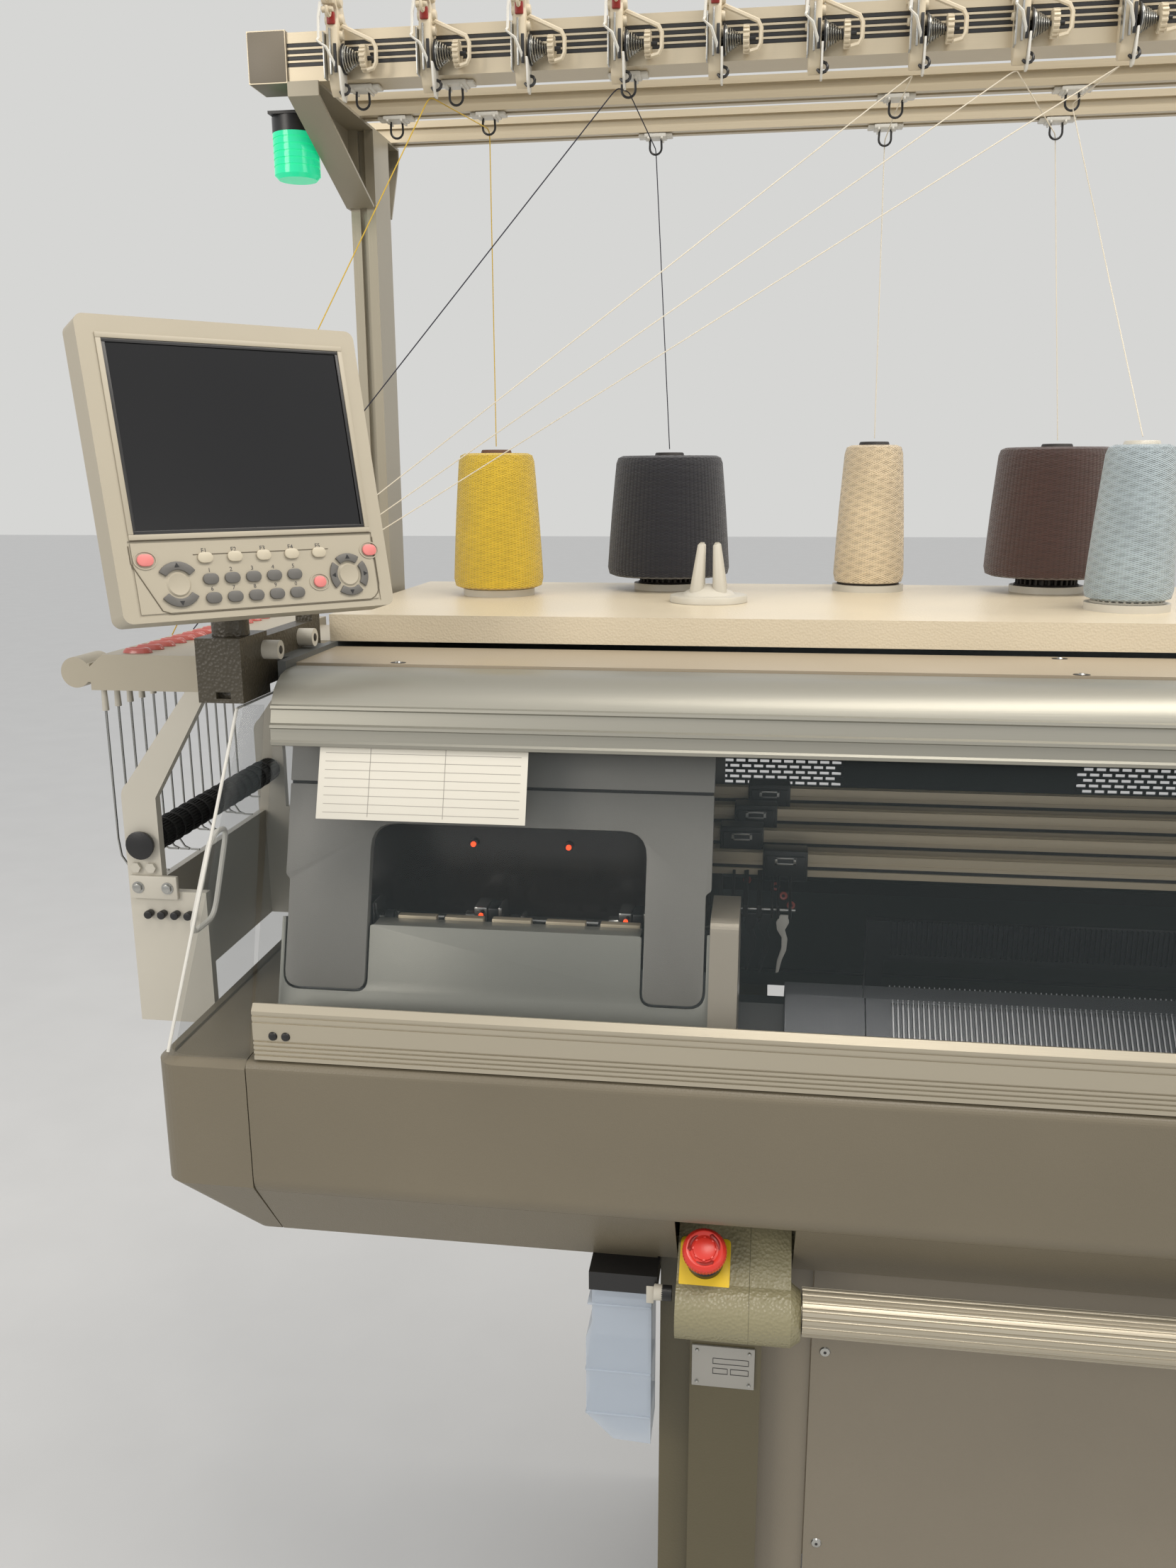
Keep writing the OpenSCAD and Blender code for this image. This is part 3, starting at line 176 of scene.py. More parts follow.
# Painted shade: the stands wear the same greige paint, darker still.
paint("stand_paint", (84, 77, 55), 0.35, grain=500, relief=0.3, on="machine_frame")
casting_paint = paint("casting_paint", (132, 126, 98), 0.33, grain=330, relief=0.6, depth=0.0012, on="bar_brackets")
paint("dark_casting", (66, 60, 47), 0.4, grain=330, relief=0.5, depth=0.001, on="screen_bracket screen_neck")
arch_paint = paint("arch_paint", (122, 121, 116), 0.42, relief=0.15, on="carriage_arch")
metal_flake = paint("metal_flake", (128, 129, 122), 0.38, 0.35, grain=1200, on="carriage_cover")
paint("panel_paint", (164, 157, 143), 0.36, 0.3, grain=1200, relief=0.1, on="carriage_panel")
paint("frame_paint", (84, 86, 84), 0.45, grain=500, relief=0.25, on="end_frames")

# %% [markdown]
# ### Metals
# Drawn and rolled metal has a grain along one axis. Stretching the texture coordinates along X draws the
# noise out into long fine lines, which is all that brushed aluminium needs.

# %% Metals
brushed = partial(finish, patch=9, stretch=(0.02, 1, 1))
cream_rail = brushed("cream_rail", (196, 184, 160), 0.36, 0.5, relief=0.15, on="tension_rail eyelet_rails feeder_rails")
brushed("post_metal", (152, 145, 128), 0.4, 0.3, stretch=(1, 1, 0.02), relief=0.15, on="creel_posts creel_arms")
rail_metal = brushed("rail_metal", (150, 148, 138), 0.42, 0.6, on="cover_top_rail")
grip_metal = brushed("grip_metal", (176, 168, 150), 0.36, 0.6, on="cover_grip_rail operating_bar")
bed_steel = brushed("bed_steel", (66, 68, 71), 0.34, 0.85, grain=800, stretch=(1, 0.05, 0.05), relief=0.15,
                    on="front_needle_bed rear_needle_bed sinker_comb")
finish("cast_iron", (70, 72, 73), 0.5, 0.5, grain=300, relief=0.35, depth=0.0008, on="bed_beam")
carriage_steel = finish("carriage_steel", (92, 94, 94), 0.4, 0.7, grain=500, relief=0.2,
                        on="cam_boxes drive_pulley idler_pulley levelling_feet")
bright_steel = finish("bright_steel", (172, 172, 168), 0.26, 0.95, relief=0.05, on="wire_arms")
needle_steel = finish("needle_steel", (150, 152, 155), 0.4, 0.8, relief=0.05)
black_metal = paint("black_metal", (26, 26, 27), 0.38, grain=700, relief=0.15,
                    on="bottle_bracket yarn_feeder yarn_eyelets")

# %% [markdown]
# ### Plastics, rubber and clear sheet
# Moulded plastic is smooth with a very fine grain. Clear sheet is best shown with a low Alpha rather than
# with refraction: a thin flat sheet doesn't bend what is behind it, and light still reaches the carriage.

# %% Plastics
moulded = partial(finish, grain=1500, relief=0.05, shade=0.04)
cream_plastic = moulded("cream_plastic", (198, 186, 162), 0.42)
case_plastic = moulded("case_plastic", (166, 158, 140), 0.46, relief=0.1, on="screen_housing side_housing")
white_plastic = moulded("white_plastic", (192, 187, 174), 0.4, on="side_arm cone_holders cover_bumpers")
milky_plastic = finish("milky_plastic", (186, 196, 208), 0.3, grain=300, relief=0.08, Alpha=0.55, on="oil_bottle")
black_plastic = finish("black_plastic", (24, 24, 25), 0.36, relief=0.1, on="lamp_base step_motors stop_stem")
black_rubber = finish("black_rubber", (22, 22, 22), 0.7, grain=500, relief=0.3,
                      on="drive_belt take_down_roller pressure_roller feed_roller")
red_plastic = finish("red_plastic", (206, 52, 40), 0.3, relief=0.04, on="stop_head")
deep_red = finish("deep_red", (140, 34, 26), 0.4, relief=0.03)
pink_glaze = finish("pink_glaze", (176, 92, 84), 0.2, grain=300, relief=0.03, on="side_eyelets")
key_grey = finish("key_grey", (92, 90, 86), 0.5, grain=1200, relief=0.1, on="screen_keys")
finish("clear_sheet", (70, 78, 80), 0.03, grain=3, relief=0.0, shade=0.02, Alpha=0.1, on="cover_pane side_windows")
finish("display_glass", (7, 7, 9), 0.16, grain=3, relief=0.0, shade=0.02, on="screen_glass")
finish("lamp_green", (36, 220, 160), 0.15, grain=60, relief=0.1, shade=0.1, on="lamp_lens",
       Emission_Color=rgb(30, 236, 170), Emission_Strength=0.3)
panel_grey = paint("panel_grey", (66, 72, 73), 0.42, 0.3, grain=600, relief=0.15, on="rear_panel")
yarn_white = finish("yarn_white", (222, 214, 196), 0.9, grain=2500, relief=0.6,
                    on="yarn_threads front_cones rear_cones")

# %% [markdown]
# ## A small workshop of shapes
# Each helper starts from a bmesh operator and returns one small bmesh in millimetres. A Part gathers such
# shapes, each with its finish, and becomes one object at the end. This keeps every piece short to write.


# %% Shapes
def bevel(bm, edges, size, segments=2, clamp=True):
    bmesh.ops.bevel(bm, geom=edges, offset=size, segments=segments, profile=0.5, affect="EDGES",
                    clamp_overlap=clamp, material=-1)


def facing(way):
    """A rotation that takes Z to the given direction."""
    return Vector(way).to_track_quat("Z", "Y").to_matrix().to_4x4()


def box(low, high, edge=0.0, segments=2):
    bm = bmesh.new()
    low, high = Vector(low), Vector(high)
    place = Matrix.Translation((low + high) / 2) @ Matrix.Diagonal((*(high - low), 1))
    bmesh.ops.create_cube(bm, size=1.0, matrix=place)
    if edge:
        bevel(bm, bm.edges[:], edge, segments)
    return bm


def rod(start, end, radius, end_radius=None, sides=16, edge=0.0):
    bm = bmesh.new()
    start, end = Vector(start), Vector(end)
    bmesh.ops.create_cone(bm, cap_ends=True, segments=sides, radius1=radius, depth=(end - start).length,
                          radius2=radius if end_radius is None else end_radius,
                          matrix=Matrix.Translation((start + end) / 2) @ facing(end - start))
    if edge:
        rims = [e for e in bm.edges if any(len(f.verts) == sides for f in e.link_faces)]
        bevel(bm, rims, edge, clamp=False)
    return bm


def lathe(profile, base=(0, 0, 0), axis=(0, 0, 1), steps=32):
    """Spins a profile of (radius, height) pairs round an axis through base; a closed profile makes a ring."""
    bm = bmesh.new()
    points = [bm.verts.new((radius, 0, height)) for radius, height in profile]
    edges = [bm.edges.new(pair) for pair in zip(points, points[1:])]
    bmesh.ops.spin(bm, geom=points + edges, cent=(0, 0, 0), axis=(0, 0, 1), angle=math.tau, steps=steps,
                   use_merge=True)
    bmesh.ops.remove_doubles(bm, verts=bm.verts, dist=0.001)
    bmesh.ops.recalc_face_normals(bm, faces=bm.faces)
    bm.transform(Matrix.Translation(base) @ facing(axis))
    return bm


def plate(outline, thick, edge=0.0):
    """Extrudes an outline of (x, y) pairs by thick along Z."""
    bm = bmesh.new()
    face = bm.faces.new([bm.verts.new((x, y, 0)) for x, y in outline])
    made = bmesh.ops.extrude_face_region(bm, geom=[face])["geom"]
    bmesh.ops.translate(bm, vec=(0, 0, thick), verts=[v for v in made if isinstance(v, bmesh.types.BMVert)])
    bmesh.ops.recalc_face_normals(bm, faces=bm.faces)
    if edge:
        bevel(bm, bm.edges[:], edge)
    return bm


def wire(path, radius, sides=8):
    """A round wire along a path: one ring of vertices at each point, bridged to the next."""
    bm = bmesh.new()
    path = [Vector(p) for p in path]
    rings = []
    for i, point in enumerate(path):
        ahead = path[min(i + 1, len(path) - 1)] - path[max(i - 1, 0)]
        size = radius[i] if isinstance(radius, list) else radius
        made = bmesh.ops.create_circle(bm, cap_ends=i in (0, len(path) - 1), segments=sides, radius=size,
                                       matrix=Matrix.Translation(point) @ facing(ahead))
        rings.append({e for v in made["verts"] for e in v.link_edges})
    for one, other in zip(rings, rings[1:]):
        bmesh.ops.bridge_loops(bm, edges=list(one | other))
    bmesh.ops.recalc_face_normals(bm, faces=bm.faces)
    return bm


def arc(centre, radius, start, end, steps, across=(1, 0, 0), up=(0, 0, 1)):
    """Points on an arc, for a wire's path."""
    across, up, centre = Vector(across), Vector(up), Vector(centre)
    turns_at = [math.radians(start + (end - start) * i / steps) for i in range(steps + 1)]
    return [centre + radius * (math.cos(a) * across + math.sin(a) * up) for a in turns_at]


def flat_arc(x, y, radius, start, end, steps):
    """The same in two dimensions, for a plate's outline."""
    return [point.xz for point in arc((x, 0, y), radius, start, end, steps)]


def rounded(outline, radii, steps=5):
    """Rounds each corner of an outline with a short curve."""
    points = []
    for i, (corner, radius) in enumerate(zip(outline, radii)):
        corner = Vector(corner)
        start = corner + (Vector(outline[i - 1]) - corner).normalized() * radius
        end = corner + (Vector(outline[(i + 1) % len(outline)]) - corner).normalized() * radius
        if radius:
            rounds = [t / steps for t in range(steps + 1)]
            points += [start.lerp(corner, t).lerp(corner.lerp(end, t), t) for t in rounds]
        else:
            points.append(corner)
    return [tuple(point) for point in points]


def sheet(path, wall):
    """The outline of a bent sheet: an open path and its copy, moved by wall to the right of its way."""
    path = [Vector(point) for point in path]
    ways = [(b - a).normalized() for a, b in zip(path, path[1:])]
    inner = []
    for i, point in enumerate(path):
        before, after = (Vector((w.y, -w.x)) for w in (ways[max(i - 1, 0)], ways[min(i, len(ways) - 1)]))
        inner.append(point + wall * (before + after) / (1 + before.dot(after)))
    return [tuple(point) for point in path + inner[::-1]]


def turned(bm, *matrices):
    for matrix in matrices:
        bm.transform(matrix)
    return bm


UPRIGHT_YZ = Matrix(((0, 0, 1, 0), (1, 0, 0, 0), (0, 1, 0, 0), (0, 0, 0, 1)))     # (x, y) of a plate to (Y, Z)
UPRIGHT_XZ = Matrix(((1, 0, 0, 0), (0, 0, -1, 0), (0, 1, 0, 0), (0, 0, 0, 1)))    # (x, y) of a plate to (X, Z)


def yz_plate(outline, left, thick, edge=0.0):
    """A plate drawn in (Y, Z), with its left face at X = left."""
    return turned(plate(outline, thick, edge), UPRIGHT_YZ, at(left, 0, 0))


def slab(low, high, front, rear):
    """A box from two corners in (X, Z), between two depths in Y."""
    return box((low[0], front, low[1]), (high[0], rear, high[1]))


def around(count, axis, place, low, high, edge, segments=2):
    """Equal blocks, evenly spaced round an axis and then put in their place."""
    return [turned(box(low, high, edge, segments), place @ spin(360 * i / count, axis)) for i in range(count)]


def border(x0, y0, x1, y1, rim):
    """Four strips inside the edge of a rectangle, each as two opposite corners."""
    return (((x0, y0), (x1, y0 + rim)), ((x0, y1 - rim), (x1, y1)),
            ((x0, y0 + rim), (x0 + rim, y1 - rim)), ((x1 - rim, y0 + rim), (x1, y1 - rim)))


def as_mesh(name, bm):
    mesh = bpy.data.meshes.new(name)
    bm.to_mesh(mesh)
    return mesh


class Part:
    """Shapes with their finishes, gathered in millimetres."""

    def __init__(self, *finishes):
        self.bm = bmesh.new()
        self.finishes = finishes

    def add(self, coat, *shapes):
        index = self.finishes.index(coat)
        for small in shapes:
            for face in small.faces:
                face.material_index = index
                face.smooth = True
            mesh = as_mesh("small", small)
            small.free()
            self.bm.from_mesh(mesh)
            bpy.data.meshes.remove(mesh)

    def copies(self, part, places):
        """Repeats another part's shapes at each place."""
        mesh = as_mesh("repeated", part.bm)
        for place in places:
            first = len(self.bm.verts)
            self.bm.from_mesh(mesh)
            self.bm.verts.ensure_lookup_table()
            bmesh.ops.translate(self.bm, vec=place, verts=self.bm.verts[first:])
        bpy.data.meshes.remove(mesh)

    def become(self, name, body, slot, *replaced, angle=35):
        """Makes the piece that rides a body and replaces CAD solids; the slot argument is not used."""
        self.bm.transform(TO_FRAME)
        mesh = as_mesh(name, self.bm)
        self.bm.free()
        for coat in self.finishes:
            mesh.materials.append(coat)
        mesh.set_sharp_from_angle(angle=math.radians(angle))
        piece = linked(name, mesh)
        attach(piece, body)
        if replaced:
            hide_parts(*replaced)
        print(name, "rides", body, "with", len(mesh.polygons), "faces")
        return piece


# %% [markdown]
# ## Yarn packages
# A cone of yarn is wound criss-cross, so its side shows two families of threads that cross. The shape is a
# lathe profile with soft shoulders. The winding follows the surface, so it uses a UV map: U runs round, V up,
# and two sine waves of U and V, one leaning each way, give the crossing threads without a seam.


# %% Yarn finish and cones
def winding(name, colour, coarse):
    material = finish(name, colour, 0.9, grain=1800, relief=0.0, shade=0.1, patch=30)
    tree = material.node_tree
    links, shader = tree.links, set_inputs(tree.nodes["Principled BSDF"], Sheen_Weight=0.35)
    uv = new_node(tree, "UVMap")
    uv.uv_map = "winding"
    split = new_node(tree, "SeparateXYZ")
    join(uv, "UV", split, "Vector")

    def maths(kind, first, second=None):
        node = new_node(tree, "Math")
        node.operation = kind
        for slot_index, value in enumerate((first, second)):
            if isinstance(value, (int, float)):
                node.inputs[slot_index].default_value = value
            elif value is not None:
                links.new(value, node.inputs[slot_index])
        return node.outputs[0]

    def threads(round_count, up_count, lean):
        sideways = maths("MULTIPLY", split.outputs["X"], round_count * math.tau)
        upward = maths("MULTIPLY", split.outputs["Y"], up_count * math.tau * lean)
        return maths("SINE", maths("ADD", sideways, upward))

    fine = maths("MAXIMUM", threads(40, 76, 1), threads(40, 76, -1))
    wide = maths("MAXIMUM", threads(9, 15, 1), threads(11, 18, -1))
    height = maths("ADD", maths("MULTIPLY", fine, 0.6), maths("MULTIPLY", wide, coarse))
    bump = set_inputs(tree.nodes["Bump"], Strength=0.8, Distance=0.0012)
    links.new(height, bump.inputs["Height"])
    # Painted shade: where the winding lies low between the threads, its colour is blended towards 62 percent of the
    # yarn's colour.
    blend = new_node(tree, "Mix")
    blend.data_type = "RGBA"
    blend.inputs["B"].default_value = [c * 0.62 for c in rgb(*colour)[:3]] + [1]
    valley_shade = new_node(tree, "MapRange", From_Min=0.9, From_Max=-0.4, To_Max=0.75)
    links.new(height, valley_shade.inputs["Value"])
    join(valley_shade, "Result", blend, "Factor")
    join(tree.nodes["Color Ramp"], "Color", blend, "A")
    join(blend, "Result", shader, "Base Color")
    return material


SEAT = 1413      # height of the holders' discs
paper_brown = finish("paper_brown", (92, 62, 44), 0.7, relief=0.2)
foot_black = finish("foot_black", (34, 30, 28), 0.6, relief=0.2)


def yarn_cone(name, x, y, top, bottom, low, high, colour, coarse, node, tube):
    """One package: its axis, its two diameters, the heights of its winding, and its yarn."""
    yarn = winding(name + "_yarn", colour, coarse)
    part = Part(yarn, tube)
    wide, narrow, tall = bottom / 2, top / 2, high - low
    slope = (wide - narrow) / tall
    side = [(wide - slope * t * tall + 0.8 * math.sin(math.pi * t), low + t * tall)
            for t in (0.07, 0.3, 0.55, 0.8, 0.94)]
    profile = [(26, low + 1), (wide - 9, low), (wide - 2.5, low + 2.5), *side,
               (narrow - 1.5, high - 2.5), (narrow - 7, high), (17.5, high - 1)]
    shape = lathe(profile, (x, y, 0), steps=64)
    layer = shape.loops.layers.uv.new("winding")
    for face in shape.faces:
        angles = [math.atan2(loop.vert.co.y - y, loop.vert.co.x - x) / math.tau % 1 for loop in face.loops]
        crosses = max(angles) - min(angles) > 0.5
        for loop, angle in zip(face.loops, angles):
            angle += 1 if crosses and angle < 0.5 else 0
            radius = math.hypot(loop.vert.co.x - x, loop.vert.co.y - y)
            loop[layer].uv = (angle, (loop.vert.co.z - low - 0.6 * (radius - wide)) / tall)
    part.add(yarn, shape)
    core = [(17, high - 4), (18.5, high - 1), (17.5, high + 3), (16.5, high + 4), (14, high + 4), (14, high - 12),
            (26, low - 1), (29, SEAT), (31, SEAT - 2), (30, low + 2), (17, high - 4)]
    foot = [(28, SEAT - 0.4), (37, SEAT - 0.4), (38, SEAT + 0.6), (37, SEAT + 2), (28, SEAT + 2), (28, SEAT - 0.4)]
    part.add(tube, lathe(core, (x, y, 0), steps=40),
             *around(30, "Z", at(x, y, 0), (29, -1.4, SEAT), (36, 1.4, low + 1), 0.5),
             lathe(foot, (x, y, 0), steps=40))
    return part.become(name, "machine", "yarn_light" if node == "front_cones" else "yarn_dark", node)


yarn_cone("yarn_yellow", -1177, 296, 88, 109, 1414, 1571, (226, 190, 44), 0.25, "front_cones", paper_brown)
yarn_cone("yarn_grey_blue", -477, 186, 67, 90, 1416, 1574, (168, 182, 188), 0.6, "front_cones", white_plastic)
yarn_cone("yarn_navy", -979, 394, 130, 154, 1422, 1568, (8, 9, 24), 0.3, "rear_cones", foot_black)
yarn_cone("yarn_cream", -731, 394, 68, 86, 1414, 1579, (226, 206, 172), 0.6, "rear_cones", foot_black)
yarn_cone("yarn_brown", -518, 394, 130, 150, 1424, 1575, (68, 40, 32), 0.4, "rear_cones", foot_black)

# %% [markdown]
# ## Tension units
# Twenty-eight equal units sit on the front rail. One unit is modelled once, in its own millimetres, and its
# mesh is copied along the rail. That is cheaper than an array modifier on many shapes and leaves one object.

# %% One tension unit
CREEL_Z, RAIL_Y = 1938, 149                       # underside and front face of the tension rail
UNIT_X0, UNIT_PITCH, UNITS = -1300, 95, 28
clip_white = finish("clip_white", (222, 220, 212), 0.3, relief=0.04, Alpha=0.8)


def disc(x0, x1, radius, **how):
    """A round on the axle of the unit's tension wheel."""
    return rod((x0, -13, 15), (x1, -13, 15), radius, **how)


unit = Part(cream_plastic, deep_red, bright_steel, black_metal, clip_white)
casing = [(0, 4), (0, 46), (24, 46), (24, 51), (4, 55), (-1, 66), (-7, 75), (-16, 79), (-27, 78), (-35, 72),
          (-37, 64), (-33, 59), (-27, 61), (-21, 58), (-20, 50), (-24, 42), (-25, 20), (-23, 2), (-17, -13),
          (-11, -19), (-5, -17), (-2, -8)]
cheek = [(2, 47), (2, 54), (-3, 64), (-10, 71), (-17, 70), (-15, 60), (-9, 50), (-5, 40), (-2, 40)]
unit.add(cream_plastic, yz_plate(casing, -5, 12, 1.4), yz_plate(cheek, -9, 3.4, 1.0))
for y, z, size in ((-16, 66, 6.4), (-11, 51, 5.8), (-14, 36, 5.2), (-15, 22, 4.6)):
    unit.add(cream_plastic, rod((6, y, z), (10.5, y, z), size, size * 0.8, 14, 0.8),
             rod((-8.5, y, z), (-5, y, z), size * 0.7, size * 0.85, 12))
unit.add(deep_red, box((-3, -25.4, 44), (5, -21.4, 55), 0.8))
for z, size in ((68, 6.5), (54, 5.5)):
    hook = arc((2, -34, z), size, 150, 400, 10, (0, 0.9, 0.2), (0, -0.2, 1))
    unit.add(cream_plastic, wire(hook, 1.7, 6), rod((-4, -34, z), (7, -34, z), 3, 2.2, 10))
unit.add(clip_white, wire([(-5, -36, 60), (-7, -38, 46), (-8, -38, 28), (-9, -41, 25)], [1.8, 1.6, 1.4, 1.0], 6),
         wire([(-9, -41, 25), (-2, -34, 21), (3, -27, 9), (4, -24, 0)], [1.0, 1.5, 1.5, 1.0], 6))
unit.add(bright_steel, box((-6.8, -30, -6), (-5.2, -20, 36), 0.3), box((-1, -27.6, -2), (1, -25, 40), 0.3))
unit.add(black_metal, box((3, -27, 0), (6, -25, 26), 0.3))
unit.add(clip_white, yz_plate([(-27, 6), (-23, -15), (-17, -24), (-9, -24), (-5, -16), (-4, 2)], 7, 2.2, 0.5))
coil = []
for i in range(73):
    t, round_at = i / 72, i / 72 * 6 * math.tau
    coil.append((12 + 14 * t, -13 + (12 - 8 * t) * math.cos(round_at), 15 + (12 - 8 * t) * math.sin(round_at)))
unit.add(bright_steel, wire(coil, 0.8, 4))
unit.add(black_metal, disc(9.4, 10.6, 14, sides=24))
unit.add(bright_steel, disc(10.8, 12, 13, sides=24, edge=0.4))
unit.add(black_metal, disc(6, 40, 2.2, sides=10))
guard = [(6, -13, 42), (10, -15, 44), (26, -18, 36), (42, -21, 28), (45, -21, 22), (45, -21, 9), (42, -20, 4),
         (35, -18, 3)]
unit.add(cream_plastic, disc(28, 34, 11, sides=24, edge=0.6),
         *around(16, "X", at(31, -13, 15), (-3, -1.3, 10), (3, 1.3, 12.6), 0.4, 1), wire(guard, 2.2, 6))
unit.add(black_metal, wire(arc((9, -14, -13), 5, 120, -160, 8, (1, 0, 0), (0, 0.3, 1)), 1.5, 6))
unit.add(bright_steel, turned(box((-8, 8, 46), (10, 30, 48.4), 0.5), Matrix.Rotation(0.05, 4, "Y")),
         rod((-1, 20, 46), (-1, 20, 53), 3.4, sides=10, edge=0.5))

# %% The row of units
row = Part(*unit.finishes)
row.copies(unit, [(UNIT_X0 + UNIT_PITCH * i, RAIL_Y, CREEL_Z) for i in range(UNITS)])
row.become("tension_devices", "machine", "cream_plastic", "tension_units")

# %% [markdown]
# ## Eyelets and yarns of the creel
# Each eyelet is a moulded clip under a rail with a bent wire loop. The yarns are held taut between the
# eyelets, so they are straight runs that bend only where they pass through one.

# %% Eyelet clips
EYES = [(-1284, 173), (-1185, 173), (-1007, 173), (-1283, 293), (-1177, 293), (-733, 293), (-552, 293),
        (-1001, 415), (-734, 415), (-543, 415)]
clip = Part(clip_white, black_metal)
clip.add(clip_white, box((-13, -11, -5), (13, 11, -0.3), 1.2))
for side in (-1, 1):
    clip.add(clip_white, box((side * 15 - 5, -8, -4), (side * 15 + 5, 8, -0.3), 1.0),
             box((side * 8 - 1.2, -12, -7), (side * 8 + 1.2, 12, -4.5), 0.6))
loop = [(-6.5, 0, -4), (-6.8, 0, -9), *arc((0, 0, -15), 7, 180, 360, 10), (6.8, 0, -9), (6.5, 0, -4)]
clip.add(black_metal, wire(loop, 1.25, 8))
clips = Part(*clip.finishes)
clips.copies(clip, [(x, y, CREEL_Z) for x, y in EYES])
clips.become("eyelet_clips", "machine", "black_metal", "yarn_eyelets")

# %% Rail grooves, drawn as painted shade, and end caps
cap_brown = paint("cap_brown", (112, 104, 90), 0.5, relief=0.15)
strips = Part(black_metal, cap_brown)
# Painted shade: thin black strips on the rail's flat face stand for its grooves.
for z in (14, 20, 26, 32):
    strips.add(black_metal, slab((-1385, CREEL_Z + z + 0.4), (1385, CREEL_Z + z + 3.4), RAIL_Y - 0.1, RAIL_Y + 1.2))
for x in (-1375.5, 1375.5):
    strips.add(cap_brown, box((x - 21, RAIL_Y - 3.4, CREEL_Z - 1.4), (x + 21, RAIL_Y + 43.4, CREEL_Z + 48.4), 2.2))
strips.become("rail_groove_shade_and_caps", "machine", "black_metal")

# %% Yarns
GUIDE_X, GUIDE_Y = -1460, [-70 + 25 * i for i in range(13)]      # eyelets of the side tension


def eye(i, behind=3):
    return Vector((EYES[i][0], EYES[i][1] + behind, CREEL_Z - 16))


def unit_at(i):
    return Vector((UNIT_X0 + UNIT_PITCH * i, RAIL_Y - 8, CREEL_Z - 21))


def guide(i):
    return Vector((GUIDE_X, GUIDE_Y[i], 1388))


yarn_coats = [yarn_white, finish("yarn_dark", (40, 40, 52), 0.9, grain=2500, relief=0.5),
              finish("yarn_gold", (196, 164, 60), 0.9, grain=2500, relief=0.5)]


def eased(points, step=9.0):
    """Cuts each corner of a taut run with a short curve, as a yarn bends round an eyelet."""
    path = [points[0]]
    for before, here, after in zip(points, points[1:], points[2:]):
        one, two = here + (before - here).normalized() * step, here + (after - here).normalized() * step
        path += [one.lerp(here, t / 4).lerp(here.lerp(two, t / 4), t / 4) for t in range(5)]
    return path + [points[-1]]


# where the yarn leaves its cone, what it passes, its side eyelet and its coat
RUNS = (((-1177, 296, 1579), [eye(4), unit_at(1)], 3, 2), ((-979, 394, 1576), [eye(7), eye(2), unit_at(3)], 5, 1),
        ((-731, 394, 1587), [eye(8), eye(5), unit_at(6)], 7, 0), ((-518, 394, 1583), [eye(9), unit_at(7)], 9, 0),
        ((-477, 186, 1582), [eye(6, 0), unit_at(8)], 11, 0))
for k, (start, stops, end, coat) in enumerate(RUNS):
    run = eased([Vector(start), *stops, guide(end)])
    strand = Part(yarn_coats[coat])
    strand.add(yarn_coats[coat], wire(run, 0.6, 6))
    strand = strand.become(f"yarn_{k}", "machine", "yarn_light", *(["yarn_threads"] if k == 0 else []))

# %% [markdown]
# ## Screen
# The screen's face has its own small coordinate system: x to the right, y up, measured from the middle of the
# front plate. One matrix stands it on the swivel, so keys and grooves are drawn as on a flat plate.

# %% Screen face
ON_SCREEN = at(-1342, -118, 1540) @ spin(47, "Z") @ spin(-13, "X")


def on_face(bm):
    """Takes a plate drawn flat, with its thickness along Z, to the screen's face."""
    return turned(bm, UPRIGHT_XZ, at(0, -57, 0), ON_SCREEN)


def oval(width, tall, x=0, y=0, steps=8):
    """The outline of a slot with round ends, about (x, y)."""
    half, radius = (width - tall) / 2, tall / 2
    angles = [math.pi * (i / steps - 0.5) for i in range(steps + 1)]
    right = [(half + radius * math.cos(a), radius * math.sin(a)) for a in angles]
    return [(x + way * px, y + way * py) for way in (1, -1) for px, py in right]


key_cream = finish("key_cream", (184, 175, 154), 0.4, grain=1200, relief=0.05, shade=0.04)
key_pink = finish("key_pink", (212, 122, 118), 0.4, grain=1200, relief=0.05, shade=0.04)
ink = finish("ink", (70, 68, 66), 0.5, grain=1200, relief=0.02)
SOFT_X, DIGIT_X = [-49 + 26.3 * i for i in range(5)], [-47 + 19.2 * i for i in range(5)]
RINGS, RING_Y = ((83, (0, 90, 180, 270), 38), (-75, (90, 270), 55)), -95      # x, middles and half reach in degrees
keys = Part(key_grey, key_cream, key_pink, ink, case_plastic)
keys.add(key_cream, *(on_face(plate(oval(13.5, 9, x, -74), 2.2, 0.7)) for x in SOFT_X))
keys.add(key_grey, *(on_face(plate(oval(14, 9.4, x, y), 2.2, 0.7)) for x in DIGIT_X for y in (-92, -108)))
for x, y, wide in ((-100, -74, 14), (107, -74, 14), (53, -100, 12)):
    ring = lathe([(7.6, 0), (8.6, 0), (8.6, 0.7), (7.6, 0.7), (7.6, 0)], steps=24)
    keys.add(key_pink, on_face(plate(oval(wide, 10, x, y), 2.2, 0.8)))
    keys.add(case_plastic, on_face(turned(ring, Matrix.Diagonal((1.15, 0.9, 1, 1)), at(x, y, 0))))
for x, middles, reach in RINGS:
    for middle in middles:
        angles = [math.radians(middle + reach * (i / 4 - 1)) for i in range(9)]
        outline = [(x + radius * math.cos(a), RING_Y + radius * math.sin(a))
                   for radius, sweep in ((19, angles), (12, angles[::-1])) for a in sweep]
        keys.add(key_grey, on_face(plate(outline, 2.0, 0.6)))
    keys.add(case_plastic, on_face(lathe([(0, 0.4), (6, 0.5), (9, 1.1), (10.5, 0)], (x, RING_Y, 0), steps=24)))
keys.become("screen_key_set", "screen", "key_plastic", "screen_keys")

